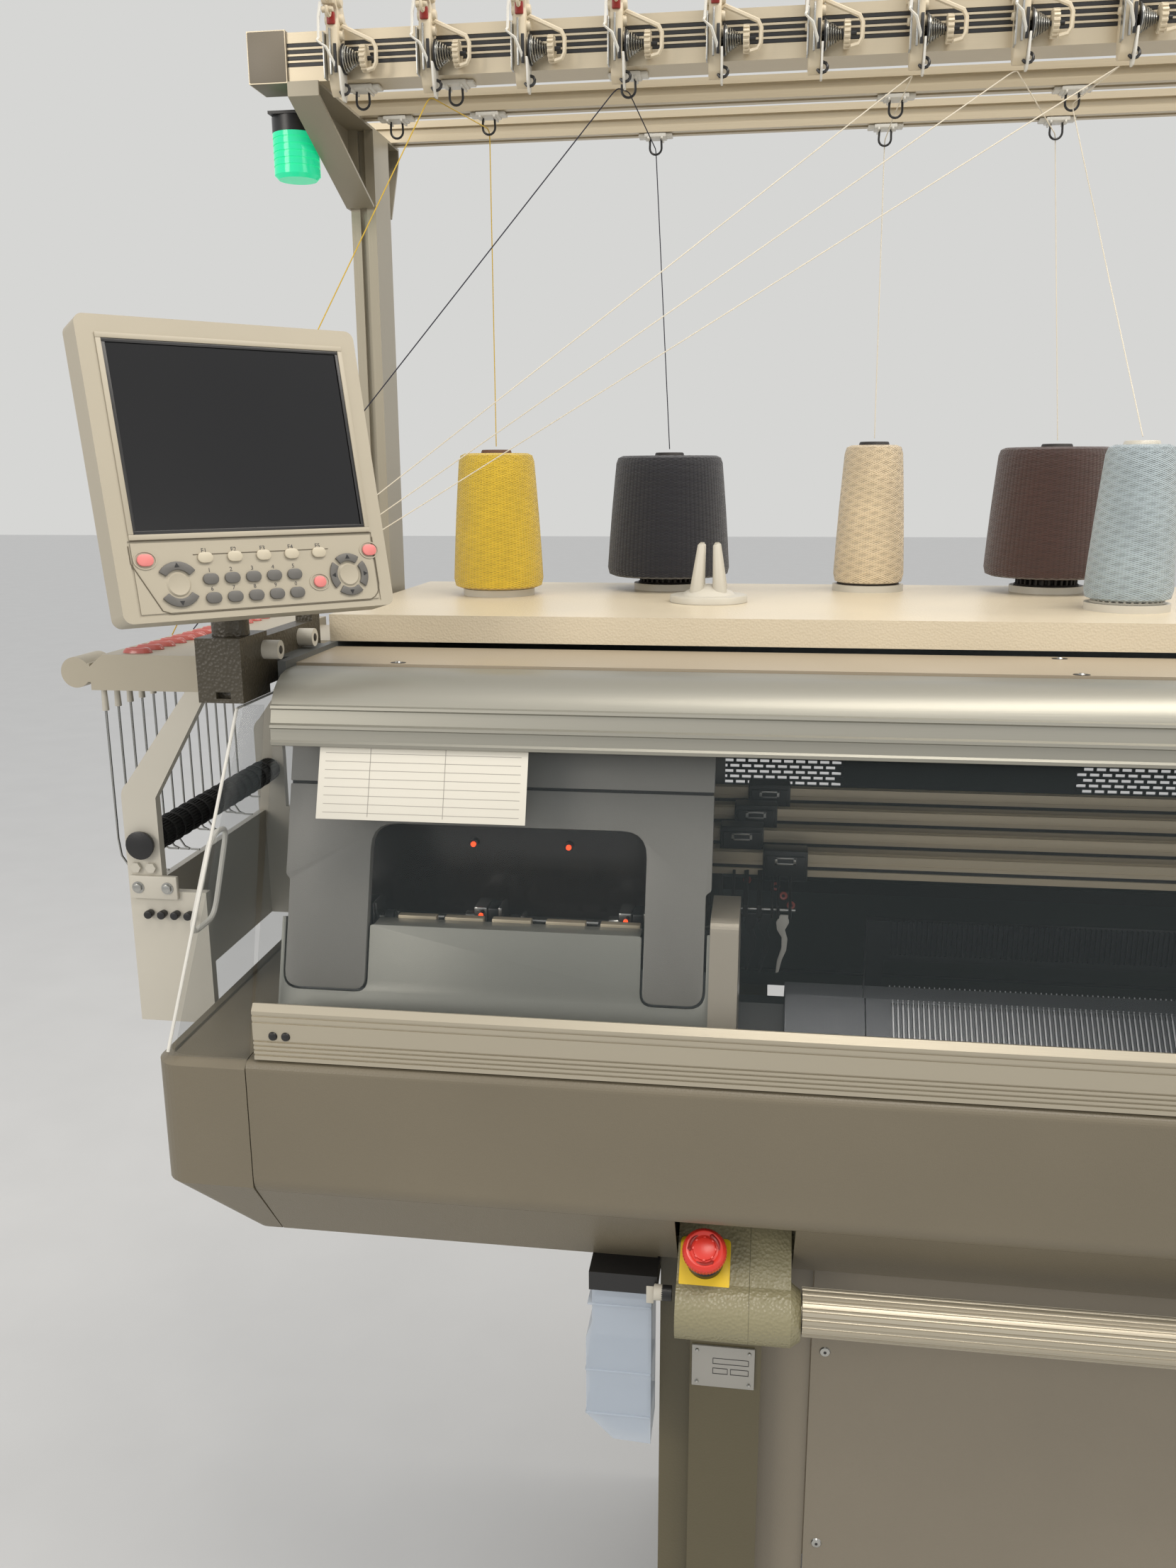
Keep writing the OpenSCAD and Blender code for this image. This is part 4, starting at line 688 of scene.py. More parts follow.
# %% [markdown]
# Key legends are generic: F1 to F5, the ten digits and small arrows. Blender's own font gives their outlines,
# and the flat letters are turned into a mesh, so that they belong to the piece as any other face does.

# %% Key legends
legends = Part(ink, black_plastic)


def letters(text, x, y, size):
    curve = bpy.data.curves.new("letters", "FONT")
    curve.body, curve.size, curve.align_x, curve.align_y = text, size, "CENTER", "CENTER"
    curve.resolution_u = 2
    holder = bpy.data.objects.new("letters", curve)
    mesh = bpy.data.meshes.new_from_object(holder)
    bm = bmesh.new()
    bm.from_mesh(mesh)
    bmesh.ops.solidify(bm, geom=bm.faces[:], thickness=0.15)
    bm.transform(at(x, y, 0.2))
    bpy.data.objects.remove(holder)
    bpy.data.curves.remove(curve)
    bpy.data.meshes.remove(mesh)
    legends.add(ink, on_face(bm))


for i in range(5):
    letters(f"F{i + 1}", SOFT_X[i], -68, 5.5)
    letters(str(i + 1), DIGIT_X[i], -84.6, 5)
    letters(str((i + 6) % 10), DIGIT_X[i], -100.3, 5)
for x, middles, reach in RINGS:
    for middle in middles:
        way = at(x, RING_Y, 2.1) @ spin(middle, "Z") @ at(15.5, 0, 0)
        legends.add(black_plastic, on_face(turned(plate([(2.2, 0), (-1.4, 2), (-1.4, -2)], 0.25), way)))
legends.become("screen_legends", "screen", "key_plastic")

# %% [markdown]
# The front plate has a stepped frame round the display and a fine groove round the keypad. A groove this fine
# is a dark wire sunk to half its thickness in the plate, which shades like the real step.

# %% Screen trims
groove_shade = finish("groove_shade", (96, 88, 72), 0.6, relief=0.05)
trim = Part(case_plastic, groove_shade, black_plastic)
for width, tall, rim, thick, coat in ((212, 159, 4.5, 1.4, case_plastic), (206, 153, 3, 0.7, black_plastic)):
    x, y = width / 2 + rim, tall / 2 + rim
    for low, high in border(-x, -y, x, y, rim):
        trim.add(coat, on_face(turned(box((*low, 0), (*high, thick), 0.5), at(0, 26.5, 0))))
keypad = [(-112, -62), (-112, -76), (-92, -116), (-84, -119), (80, -119), *flat_arc(98, -105, 14, -90, 0, 5),
          (112, -62)]
for points, radius in ((keypad, 0.5), ([(-59, -71), (66, -71)], 0.4), ([(-110, -58), (112, -58)], 0.35)):
    trim.add(groove_shade, on_face(wire([(x, y, 0.1) for x, y in points], radius, 6)))
trim.become("screen_trim", "screen", "cream_plastic")

# %% [markdown]
# ## Carriage
# Behind the window of the arch sit a dark board with two indicator lamps, and three stepping motors, each
# with a silver flange, a black stack and a shaft.


# %% Arch and lower cover
def on_slope(origin, up):
    """From (X, the way up a slope, the way out of it) to the drawing."""
    return Matrix.Translation(origin) @ Matrix((
        (1, 0, 0, 0), (0, up.y, -up.z, 0), (0, up.z, up.y, 0), (0, 0, 0, 1)))


LEAN = Vector((0, 0.30207, 0.95329))
ON_ARCH = on_slope((0, -164, 1060), LEAN)


def on_arch(outline, depth, thick, edge):
    """A plate drawn in (X, way up the slope), with its back face at depth behind the slope."""
    return turned(plate(outline, thick, edge), at(0, 0, -depth), ON_ARCH)


shell = Part(arch_paint, black_rubber)
legs = [(-1296, 19), (-1218, 19), (-1218, 176), (-956, 176), (-956, 19), (-901, 19), (-901, 120), (-896, 124),
        (-896, 211), (-1300, 211), (-1300, 124), (-1296, 120)]
shell.add(arch_paint, on_arch(rounded(legs, (14, 10, 24, 24, 10, 14, 2, 2, 0, 0, 2, 2)), 10, 10, 1.6))
hood = [(-164 + 214 * LEAN.y, 1060 + 214 * LEAN.z), *flat_arc(-60, 1322, 20, 162.4, 89.98, 6),
        *flat_arc(193, 1322, 20, 90, 0, 6), (213, 1048)]
shell.add(arch_paint, yz_plate(sheet(hood, 10), -1300, 404))
shell.add(black_rubber, on_arch([(-1299, 209), (-897, 209), (-897, 216), (-1299, 216)], 9, 7, 0))
shell.add(arch_paint, box((-1100, 212, 1050), (-1076, 257.5, 1070), 1.5))
shell.become("carriage_shell", "carriage", "arch_paint", "carriage_arch")

lower = Part(metal_flake, black_rubber, cream_rail)
apron = [(-1302, -12.6), (-896, -12.6), (-896, 84), (-898.6, 84), (-898.6, 16.4), (-958.4, 16.4), (-958.4, 80),
         (-1215.6, 80), (-1215.6, 16.4), (-1298.4, 16.4), (-1298.4, 84), (-1302, 84)]
# Painted shade: a black sheet behind the apron shows as dark lines in the narrow gaps round the legs.
leg_gap_shade = [(-1300, 14), (-897, 14), (-897, 88), (-956, 88), (-956, 60), (-1218, 60), (-1218, 88), (-1300, 88)]
lower.add(metal_flake, on_arch(rounded(apron, (3, 3, 1, 1, 16, 12, 3, 3, 12, 16, 1, 1)), 10, 8, 1.0),
          box((-1214, -134, 1131), (-960, -112, 1134), 0.6))
for x in (-1196, -1150, -1104, -1052, -1000):
    lower.add(cream_rail, box((x, -113, 1126), (x + 38, -104, 1137), 1.0))
lower.add(black_rubber, on_arch(leg_gap_shade, 12, 1, 0))
lower.become("carriage_apron", "carriage", "silver_paint", "carriage_cover")

# %% Motors and board
lamp_red = finish("lamp_red", (255, 90, 40), 0.3, grain=200, relief=0.02,
                  Emission_Color=rgb(255, 70, 30), Emission_Strength=2.0)
board_brown = finish("board_brown", (34, 26, 22), 0.25, grain=300, relief=0.1)
motors = Part(bright_steel, black_plastic, lamp_red, carriage_steel, board_brown, black_metal)
for x in (-1239, -1113, -971):
    motors.add(bright_steel, box((x - 15, -84, 1104), (x - 2, -54, 1138), 1.6))
    motors.add(black_plastic, box((x - 2, -83, 1105), (x + 9, -55, 1137), 2.2))
    motors.add(bright_steel, box((x + 9, -84, 1104), (x + 13, -54, 1138), 1.2),
               rod((x - 26, -69, 1122), (x - 15, -69, 1122), 7, sides=20, edge=0.6),
               rod((x + 13, -69, 1118), (x + 38, -69, 1118), 4, sides=12))
    motors.add(carriage_steel, rod((x + 18, -69, 1118), (x + 27, -69, 1118), 8, sides=20, edge=0.6))
    motors.add(bright_steel, box((x + 30, -78, 1104), (x + 34, -60, 1128), 0.8))
    motors.add(black_metal, *(rod((x - 6, -84.6, z), (x - 6, -82, z), 2, sides=8) for z in (1134, 1108)))
    motors.add(lamp_red, rod((x - 8, -86, 1130), (x - 8, -83, 1130), 2.2, sides=12))
motors.add(bright_steel, rod((-1285, -62, 1108), (-900, -62, 1108), 3.5, sides=12),
           rod((-1285, -46, 1112), (-900, -46, 1112), 5, sides=12))
motors.add(board_brown, box((-1296, -40, 1106), (-900, -36, 1300), 0.8))
for x in (-1136, -1040):
    motors.add(black_plastic, rod((x, -44, 1190), (x, -40, 1190), 4.5, sides=16))
    motors.add(lamp_red, rod((x, -46, 1190), (x, -44, 1190), 2.6, sides=12))
motors.add(carriage_steel, *(box((x, -60, 1104), (x + 9, -50, 1116), 1.0) for x in range(-1270, -905, 26)))
motors.become("carriage_works", "carriage", "black_metal", "step_motors")

# %% [markdown]
# ## Safety cover
# The pane carries a blank ruled card. The hood rail is an extrusion: a profile with fine ribs, drawn once
# and pulled out along the whole cover. The ribs catch the lamps as the long bright lines that such rails have.

# %% Card and screws
card_paper = finish("card_paper", (206, 202, 190), 0.5, relief=0.02, shade=0.03)
card_line = finish("card_line", (150, 146, 138), 0.5, relief=0.02)
ON_PANE = on_slope((-1255, -219, 1078), Vector((0, 90, 250)).normalized())
card = Part(card_paper, card_line)
card.add(card_paper, turned(box((0, 176, 0.2), (194, 262, 0.8), 0.2), ON_PANE))
ruled = [box((6, 182 + 7.8 * i, 0.8), (188, 182.5 + 7.8 * i, 0.95)) for i in range(10)]
ruled += [box((x, 179, 0.8), (x + 0.6, 259, 0.95)) for x in (48, 118)]
card.add(card_line, *(turned(line, ON_PANE) for line in ruled))
card.become("pane_card", "safety_cover", "cream_plastic")

hood_rail = Part(rail_metal)
outer = [(-138.5, 1306), (-141.5, 1307), (-142, 1310), (-140.5, 1312), (-139.6, 1322), (-142.4, 1323.4), (-142, 1326),
         (-138.6, 1327.4), (-135.4, 1339), (-137.4, 1340.6), (-136.6, 1343), (-133.4, 1344), (-131, 1349),
         (-125.5, 1356), (-117, 1362), (-106, 1367), (-94, 1369.6), (-84, 1370), (-69, 1370), (-69, 1362),
         (-91, 1360), (-109, 1352), (-121, 1338), (-124.5, 1330), (-129.5, 1316)]
hood_rail.add(rail_metal, yz_plate(outer, -1301, 2602),
              *(rod((x, -76, 1361), (x + 9, -76, 1361), 4, sides=20) for x in (-1309, 1300)))
hood_rail.become("hood_rail", "safety_cover", "dark_anodised", "cover_top_rail", angle=20)

grip = Part(black_metal, grip_metal)
for x in (-1282, -1270, 1270, 1282):
    grip.add(black_metal, lathe([(0, 2.4), (2, 2.4), (3.6, 1.8), (4.4, 0)], (x, -225.8, 1058), (0, -1, 0), 16))
grip.become("grip_screws", "safety_cover", "black_metal")

# %% [markdown]
# ## Feeder rails
# Four rails run over the beds, each with long grooves in its faces. The feeders clamp to them: a black block
# with a bright latch, two flat arms that hang down, glazed guides for the yarn and a narrow tip over the needles.


# %% Rails and feeders
def feeder(part, x, y, z, tip):
    part.add(black_metal, box((x, y - 13, z - 16), (x + 46, y + 12, z + 17), 1.6),
             box((x + 3, y - 16, z - 10), (x + 43, y - 13, z + 12), 1.0))
    for x0, z0, x1, z1 in ((12, 3, 34, 5), (12, 9, 34, 11), (12, 3, 15, 11), (31, 3, 34, 11)):
        part.add(bright_steel, box((x + x0, y - 17.4, z + z0), (x + x1, y - 16, z + z1), 0.3))
    arm = [(y - 14, z - 8), (y - 9, z - 14), (14, 1124), (10, 1108), (3, 1108), (2, 1122), (y - 20, z - 14)]
    part.add(black_metal, *(yz_plate(arm, x + left, 3, 0.5) for left in (15, 27)))
    bead = [(1.8, -1), (3.6, -1.4), (4.4, 0), (3.6, 1.4), (1.8, 1), (1.8, -1)]
    for k in range(3):
        part.add(pink_glaze, lathe(bead, (x + 14 + 8 * k, y - 18 - 3 * k, z - 20 - 9 * k), (0, -1, 0.2), 16))
    part.add(bright_steel, rod((x + 13, 8, 1116), (x + 34, 8, 1116), 1.8, sides=8))
    blade = [(-3, 1112), (5, 1112), (6, 1104), (2, 1096), (5, 1086), (4, 1074), (0, 1064), (-3, 1050), (-6, 1049),
             (-5, 1062), (-1, 1076), (-1, 1088), (-6, 1096), (-7, 1104)]
    part.add(tip, turned(plate(blade, 2.4, 0.4), UPRIGHT_XZ, at(x + 22, 6, 0)))


rails = Part(cream_rail, black_metal, bright_steel, pink_glaze, bed_steel)
rail_face = [(-6, -12), (-6, -5), (-3.5, -5), (-3.5, -1), (-6, -1), (-6, 3), (-4.8, 3), (-4.8, 5), (-6, 5), (-6, 12),
             (-1.4, 12), (-1.4, 10.6), (1.4, 10.6), (1.4, 12), (6, 12), (6, 2), (4, 2), (4, -2), (6, -2), (6, -12)]
RAILS = [(59 + 34 * i, 1150 + 15 * i) for i in range(4)]      # middle of each rail in (Y, Z)
for y, z in RAILS:
    rails.add(cream_rail, yz_plate([(y + a, z + b) for a, b in rail_face], -1302, 2604))
    # Painted shade: a black strip lies at the bottom of the groove in each rail's face.
    rails.add(black_metal, box((-1302, y - 4.2, z - 4.8), (1302, y - 3.2, z - 1.2)))
for i, (y, z) in enumerate(RAILS[1:]):
    feeder(rails, -896 + 14 * i, y, z, bed_steel)
rails.become("rails_and_parked_feeders", "machine", "anodised", "feeder_rails", angle=20)
sliding = Part(cream_rail, black_metal, bright_steel, pink_glaze, clip_white)
feeder(sliding, -850, *RAILS[0], clip_white)
sliding.become("sliding_feeder", "feeder", "black_metal", "yarn_feeder")

# %% [markdown]
# ## Emergency stop and its bracket
# The mushroom head is a lathe profile with a fine serrated rim and three raised arrows. It is modelled upright
# and then leant back by the slope of the casting. The bracket gets its flange, and the stand a blank plate.

# %% Emergency stop
ON_STOP = at(-892, -202, 848.09) @ spin(38, "X")
mushroom = Part(red_plastic, deep_red)
head = [(0, 13), (5, 13), (5, 20.4), (16.6, 20.6), (17.4, 22.6), (19.2, 23.2), (19.6, 24), (19.6, 29.6), (18.6, 31.6),
        (16.2, 33.4), (14.4, 33.2), (12.6, 32.2), (10.6, 32.6), (10, 34), (8.6, 34.6), (0, 34.8)]
mushroom.add(red_plastic, turned(lathe(head, steps=56), ON_STOP),
             *around(44, "Z", ON_STOP, (19, -0.8, 24), (20, 0.8, 29.4), 0.3, 1))
for start in (0, 120, 240):
    arrow = wire(arc((0, 0, 32.7), 13.4, start, start + 72, 8, (1, 0, 0), (0, 1, 0)),
                 [0.5, 1, 1.4, 1.6, 1.6, 1.6, 1.6, 2.2, 0.4], 6)
    mushroom.add(deep_red, turned(arrow, ON_STOP))
mushroom.add(red_plastic, *around(8, "Z", ON_STOP, (8.6, -1.4, 33), (11.2, 1.4, 34.2), 0.5, 1))
mushroom.become("mushroom_head", "stop_mushroom", "stop_red", "stop_head")

# %% Small fittings
yellow = finish("yellow", (222, 186, 28), 0.45, relief=0.03, shade=0.03)
plate_metal = finish("plate_metal", (158, 156, 150), 0.38, 0.5, grain=700, relief=0.06)
fittings = Part(black_plastic, yellow, plate_metal, casting_paint, black_metal, bright_steel, white_plastic,
                milky_plastic)
collar = [(12.4, 1), (16.8, 1), (16.8, 8.6), (15.6, 9.4), (12.4, 9.4), (12.4, 1)]
corners = rounded([(-23, -25), (23, -25), (23, 21), (-23, 21)], (5, 5, 5, 5))
fittings.add(black_plastic, turned(lathe(collar, steps=40), ON_STOP))
fittings.add(yellow, turned(plate(corners, 1.0, 0.3), at(0, 0, 0.2), ON_STOP))
fittings.add(casting_paint, box((-917, -172, 878), (-786, -158, 886), 2.0),
             box((-815, -172, 842), (-786, -164, 886), 2.0))
for z in (853, 868):
    fittings.add(black_metal, rod((-800, -182, z), (-800, -171, z), 6, sides=20, edge=1.0))
    fittings.add(black_plastic, rod((-800, -183, z), (-800, -181.8, z), 3, sides=6))
fittings.add(plate_metal, box((-904, -171.5, 690), (-844, -168.8, 735), 0.6))
rivet = [(0, 1.4), (1.2, 1.2), (2, 0)]
fittings.add(bright_steel, *(lathe(rivet, (x, -171.5, z), (0, -1, 0), 12) for x in (-899, -849) for z in (695, 730)))
for x0, z0, x1, z1 in ((-884, 716, -850, 722), (-884, 705, -870, 711), (-867, 705, -850, 711)):
    for low, high in (((x0, z0), (x1, z0 + 0.5)), ((x0, z1), (x1, z1 + 0.5)),
                      ((x0, z0), (x0 + 0.5, z1)), ((x1, z0), (x1 + 0.5, z1))):
        fittings.add(black_metal, slab(low, high, -171.8, -171.4))
for x, z in [(x, z) for x in (-777, 777) for z in (723, 500, 190)]:
    fittings.add(bright_steel, lathe([(0, 1.6), (2.4, 1.8), (4.6, 1.2), (5.4, 0)], (x, -149, z), (0, -1, 0), 16))
    fittings.add(black_metal, rod((x, -151, z), (x, -150.2, z), 1.6, sides=6))
for x, y in ((-1203, -54), (-574, -58), (-572, 42), (60, -57), (62, 42), (690, -57), (1180, -55)):
    fittings.add(black_metal, turned(plate(oval(15, 9), 0.5, 0.1), at(x, y, 1371.9)))
    fittings.add(bright_steel, lathe([(0, 1.3), (2.4, 1.2), (3.4, 0)], (x, y, 1372.3), steps=12))
fittings.add(black_metal, *(rod((-1308, y, 1388), (-1305.4, y, 1388), 4, sides=16, edge=0.5) for y in (-90, 3)))
fittings.add(white_plastic, box((-946, -199.6, 797), (-939, -198.8, 815), 0.4))
for x, z in ((-1001.5, 790), (-1004, 718), (-1004, 670)):
    fittings.add(milky_plastic, box((x, -200.2, z), (-941.5, -148.6, z + 2.4), 1.0))
fittings.add(white_plastic, rod((-938.6, -203, 812), (-922, -203, 812), 7.4, 6.6, 24, 1.0))
fittings.become("fittings", "machine", "black_metal")

# %% Spare holder's fingers
SPARE_X, SPARE_Y = -920, 231
fingers = Part(white_plastic)
for i in range(4):
    turn = math.radians(45 + 90 * i)
    out = Vector((math.cos(turn), math.sin(turn), 0))
    start, end = Vector((SPARE_X, SPARE_Y, 1412)) + 19 * out, Vector((SPARE_X, SPARE_Y, 1469.5)) + 12 * out
    fingers.add(white_plastic, rod(start, end, 8.5, 4.2, 16, 1.2))
dish = [(0, 1425), (10, 1424), (26, 1417), (30, 1413.5), (43, 1413), (44, 1411), (44, 1405.4), (0, 1405.4)]
fingers.add(white_plastic, lathe(dish, (SPARE_X, SPARE_Y, 0), steps=48))
fingers.become("spare_fingers", "machine", "white_plastic")

# %% Edges and handle of the side windows
edging = Part(clip_white)


def on_side(side, y, up):
    """A point on the outer face of a side window, up in millimetres along its slope."""
    return Vector((side * (1385.6 - 53 * up / 314.5), y, 1033 + 310 * up / 314.5))


for side in (-1, 1):
    corners = [on_side(side, y, up) for y, up in ((-223, 2), (-137, 311), (68, 311))]
    for a, b, radius in zip(corners, corners[1:], (1.6, 1.2)):
        edging.add(clip_white, wire([a.lerp(b, t / 8) for t in range(9)], radius, 8))
    grip = rounded([(-190, 105), (-164, 195), (-128, 195), (-138, 105)], (16, 16, 16, 16), 6)
    handle = [on_side(side, *point) + Vector((side * 2.4, 0, 0)) for point in [*grip, grip[0]]]
    edging.add(clip_white, wire(handle, 2.6, 8))
edging.become("side_window_edges", "machine", "clear_sheet")

# %% [markdown]
# ## Needle beds
# A needle lies in each trick: a flat shank that ends in a small hook by the gap between the beds. One needle
# has few faces, because it is repeated along both beds.

# %% Needles
NEEDLE_X0, NEEDLE_PITCH, NEEDLES = -717.5, 5, 288      # one needle in each milled trick
needle = Part(needle_steel, black_metal)
needle.add(needle_steel, box((-0.8, -146, -1.2), (0.8, -8, 1.0)), box((-0.5, -8, 0.2), (0.5, -1, 1.0)),
           box((-0.9, -70, 1.0), (0.9, -62, 3.2)), box((-0.5, -2.2, 1.0), (0.5, -1, 2.2)))
for name, side in (("front_needles", 1), ("rear_needles", -1)):
    bed = Part(*needle.finishes)
    bed.copies(needle, [(NEEDLE_X0 + NEEDLE_PITCH * i, 0, 0) for i in range(NEEDLES)])
    bed.bm.transform(Matrix.Diagonal((1, side, 1, 1)) @ at(0, -16, 1035) @ spin(45, "X"))
    if side < 0:
        bmesh.ops.reverse_faces(bed.bm, faces=bed.bm.faces)
    bed.become(name, "machine", "bed_steel")

# %% [markdown]
# ## Rear panel
# The slotted wall has small slots in staggered rows. A grid of faces with some of them left out and the rest
# thickened makes real holes, with far fewer steps than a boolean.


# %% Slotted rear panel
FIELD_Z, COLUMNS, ROWS = 1126, 10, 12
PITCH_X, PITCH_Z, SLOT_W, SLOT_H = 16.0, 7.4, 12.0, 4.0
WALL_END, WALL_LOW, WALL_TOP = 1310, 850, 1377


def faces_between(bm, xs, low, high, holed):
    """A row of faces between the given X, with every second one left open if holed."""
    for k, (a, b) in enumerate(zip(xs, xs[1:])):
        if not (holed and k % 2):
            bm.faces.new([bm.verts.new(p) for p in ((a, 0, low), (b, 0, low), (b, 0, high), (a, 0, high))])


bm = bmesh.new()
field_ends, field_top = [], FIELD_Z + ROWS * PITCH_Z
for x0 in (-915, -447, 21, 489):
    x1 = x0 + PITCH_X * (COLUMNS + 0.5) + 2
    field_ends += [x0, x1]
    for r in range(ROWS):
        first, z = x0 + PITCH_X / 2 * (r % 2) + 2, FIELD_Z + r * PITCH_Z
        xs = [x0, *(first + c * PITCH_X + wide for c in range(COLUMNS) for wide in (0, SLOT_W)), x1]
        faces_between(bm, xs, z, z + (PITCH_Z - SLOT_H), False)
        faces_between(bm, xs, z + (PITCH_Z - SLOT_H), z + PITCH_Z, True)
sheet_x = [-WALL_END, *field_ends, WALL_END]
for k, pair in enumerate(zip(sheet_x, sheet_x[1:])):
    for low, high in ((WALL_LOW, FIELD_Z), (FIELD_Z, field_top), (field_top, WALL_TOP)):
        if not (k % 2 and low == FIELD_Z):
            faces_between(bm, pair, low, high, False)
bmesh.ops.remove_doubles(bm, verts=bm.verts, dist=0.01)
bmesh.ops.recalc_face_normals(bm, faces=bm.faces)
bmesh.ops.solidify(bm, geom=bm.faces[:], thickness=3.0)
wall = Part(panel_grey)
wall.add(panel_grey, turned(bm, at(0, 461.5, 0)),
         *(box((-1302, 448, z), (1302, 460, z + 20), 1.0) for z in (850, 1357)))
wall.become("slotted_wall", "machine", "grey_paint", "rear_panel")

# %% Rear screws, seams and louvres
back = Part(panel_grey, black_metal, bright_steel, beam_paint)
back.add(black_metal, *(box((x - 0.9, 462.8, 872), (x + 0.9, 463.3, 1355)) for x in (-655, 0, 655)))
screw = [(0, 1.8), (2.6, 1.6), (4.6, 0.8), (5.2, 0)]
for x in range(-1290, 1300, 215):
    back.add(bright_steel, *(lathe(screw, (x, 463, z), (0, 1, 0), 14) for z in (862, 1367)))
back.add(black_metal, *(slab(low, high, 462.8, 463.4) for low, high in border(-760, 200, 760, 770, 1.4)))
for side in (-1, 1):
    lock_x, louvre_x = side * 735, side * 480
    for z in (250, 485, 720):
        back.add(bright_steel, rod((lock_x, 463, z), (lock_x, 465, z), 9, 8, 24, 0.6))
        back.add(black_metal, box((lock_x - 5, 464.8, z - 1), (lock_x + 5, 465.3, z + 1)))
    for z in range(260, 458, 22):
        back.add(beam_paint, box((louvre_x - 75, 463, z), (louvre_x + 75, 466, z + 7), 1.8))
        # Painted shade: a black strip under each louvre stands for the opening beneath it.
        back.add(black_metal, box((louvre_x - 72, 462.9, z - 2.6), (louvre_x + 72, 463.3, z)))
back.become("rear_details", "machine", "grey_paint")

# %% [markdown]
# ## Side tension
# Yarns pass through glazed eyelets in the left housing, down along bent wires and over a knurled roller.

# %% Side eyelets, wires and roller
ROLLER_X, ROLLER_Z = -1465, 1190
eyelets = Part(pink_glaze, black_rubber)
ring = [(3, 3.5), (4.4, 5), (6, 4.6), (7.6, 2), (8, 0), (3, 0), (3, 3.5)]
for y in GUIDE_Y:
    stretched = turned(lathe(ring, steps=20), Matrix.Diagonal((1.9, 0.95, 1, 1)))
    eyelets.add(pink_glaze, turned(stretched, at(GUIDE_X, y, 1380.2)))
eyelets.become("side_eyelet_set", "machine", "pink_ceramic", "side_eyelets")

arms = Part(bright_steel, white_plastic, black_metal)
for i, y in enumerate(GUIDE_Y):
    bend = ((-1499, 1190), (-1497, 1172), (-1490, 1161), (-1483, 1158), (-1473, 1158))
    arms.add(bright_steel, wire([(-1499, y, 1345), *((x, y, z - i % 3 * 8) for x, z in bend)], 1.25, 6))
    arms.add(white_plastic, rod((-1499, y, 1322), (-1499, y, 1345), 3.4, 2.6, 12, 0.5))
small_knobs = [(x, 1118, 4.4, 9) for x in (-1462, -1448, -1434, -1420)]
for x, z, radius, out in [(ROLLER_X, ROLLER_Z, 15, 7), *small_knobs]:
    arms.add(black_metal, rod((x, -86 - out, z), (x, -85.6, z), radius, radius * 0.85, 24, 1.2))
arms.add(white_plastic, box((-1480, -91, 1134), (-1430, -85.6, 1158), 1.0))
for x in (-1471, -1440):
    arms.add(bright_steel, rod((x, -94, 1146), (x, -90.6, 1146), 4.6, sides=6, edge=0.5),
             rod((x, -91.8, 1146), (x, -90.8, 1146), 6.2, sides=20))
arms.become("side_wires", "machine", "bed_steel", "wire_arms")

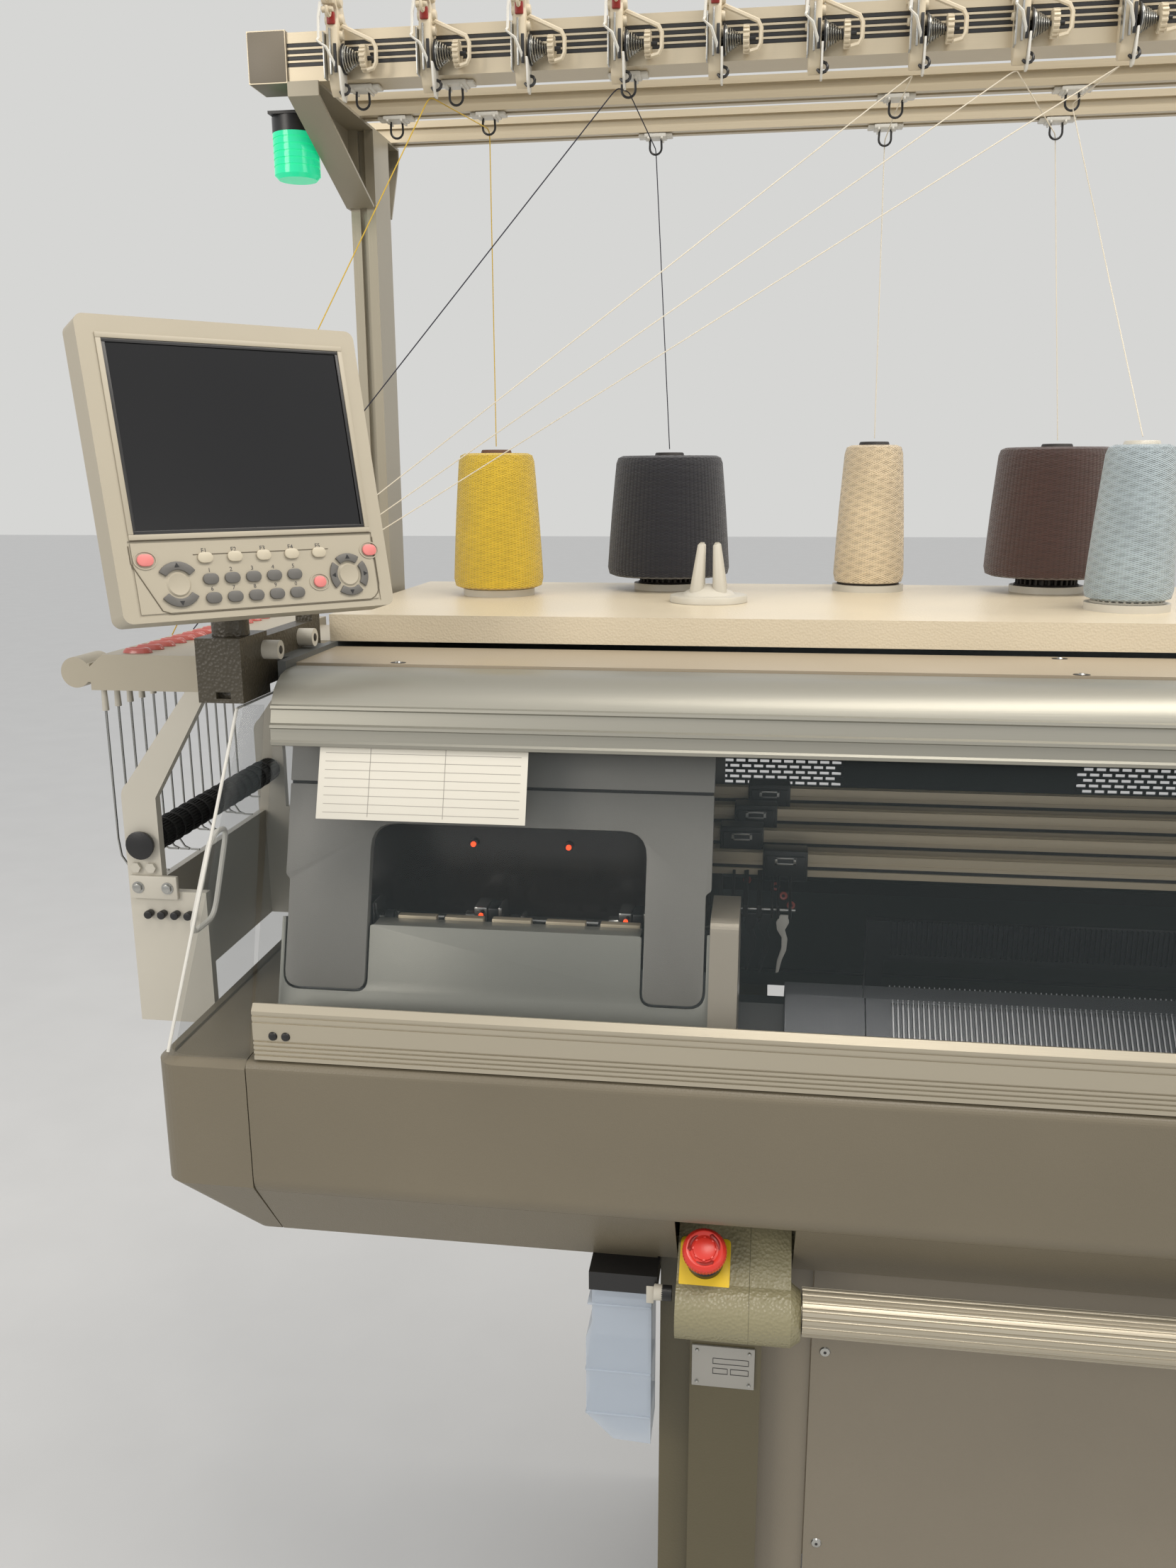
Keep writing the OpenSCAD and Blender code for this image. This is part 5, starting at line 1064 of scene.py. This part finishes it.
roller = Part(black_rubber, bright_steel)
front, rear = -86 + 10.5, -86 + 345 - 10.5
roller.add(black_rubber, rod((ROLLER_X, front, ROLLER_Z), (ROLLER_X, rear, ROLLER_Z), 13.4, sides=40, edge=0.6),
           *around(28, "Y", at(ROLLER_X, 0, ROLLER_Z), (-0.7, front + 3, 12.8), (0.7, rear - 3, 14.4), 0.2, 1))
roller.add(bright_steel, rod((ROLLER_X, -85, ROLLER_Z), (ROLLER_X, 258, ROLLER_Z), 6, sides=20))
ridge = [(12, -1.5), (15.4, -1.2), (15.4, 1.2), (12, 1.5), (12, -1.5)]
roller.add(black_rubber, *(lathe(ridge, (ROLLER_X, y, ROLLER_Z), (0, 1, 0), 28) for y in range(-60, 240, 20)))
roller.become("knurled_roller", "feed_wheel", "black_rubber", "feed_roller")

# %% [markdown]
# ## Stage, lamps and world
# A pale floor catches the shadow. Three broad area lamps stand for the room's windows and ceiling. The world
# gives even fill light, and shows itself to the camera, straight or through the panes, as a pale wall.

# %% Floor
floor_bm = bmesh.new()
bmesh.ops.create_grid(floor_bm, x_segments=4, y_segments=4, size=30)
bmesh.ops.translate(floor_bm, vec=(0, 0, -0.0005), verts=floor_bm.verts)
floor_mesh = as_mesh("floor", floor_bm)
floor_bm.free()
floor_mesh.materials.append(finish("floor_grey", (204, 204, 203), 0.7, grain=60, relief=0.02, shade=0.02))
floor = linked("floor", floor_mesh)

# %% Lamps and world
WARM = (1.0, 0.94, 0.86)
for name, place, target, width, depth, power in (
        ("ceiling", (0.4, -0.4, 3.6), (0, 0, 1), 3.6, 0.8, 78),
        ("front_left", (-3.4, -3.2, 2.6), (-0.4, 0, 1), 1.6, 1.6, 50),
        ("front_right", (3.5, -3.0, 2.4), (0, 0, 1), 2, 2, 30)):
    data = bpy.data.lights.new(name, "AREA")
    data.shape, data.size, data.size_y, data.energy, data.color = "RECTANGLE", width, depth, power, WARM
    lamp = linked(name, data)
    lamp.location = place
    lamp.rotation_mode = "QUATERNION"
    lamp.rotation_quaternion = (Vector(target) - Vector(place)).to_track_quat("-Z", "Y")

world = bpy.data.worlds.new("studio")
bpy.context.scene.world = world
world.use_nodes = True
tree = world.node_tree
tree.nodes.clear()
fill = new_node(tree, "Background", Color=(1, 1, 1, 1), Strength=0.8)
seen = new_node(tree, "Background", Color=rgb(214, 214, 212), Strength=1.0)
rays, either = new_node(tree, "LightPath"), new_node(tree, "Math")
either.operation = "MAXIMUM"
blend = new_node(tree, "MixShader")
join(rays, "Is Camera Ray", either, 0)
join(rays, "Is Transmission Ray", either, 1)
join(either, 0, blend, "Fac")
join(fill, 0, blend, 1)
join(seen, 0, blend, 2)
join(blend, 0, new_node(tree, "OutputWorld"), "Surface")
bpy.context.scene.view_settings.view_transform = "Standard"
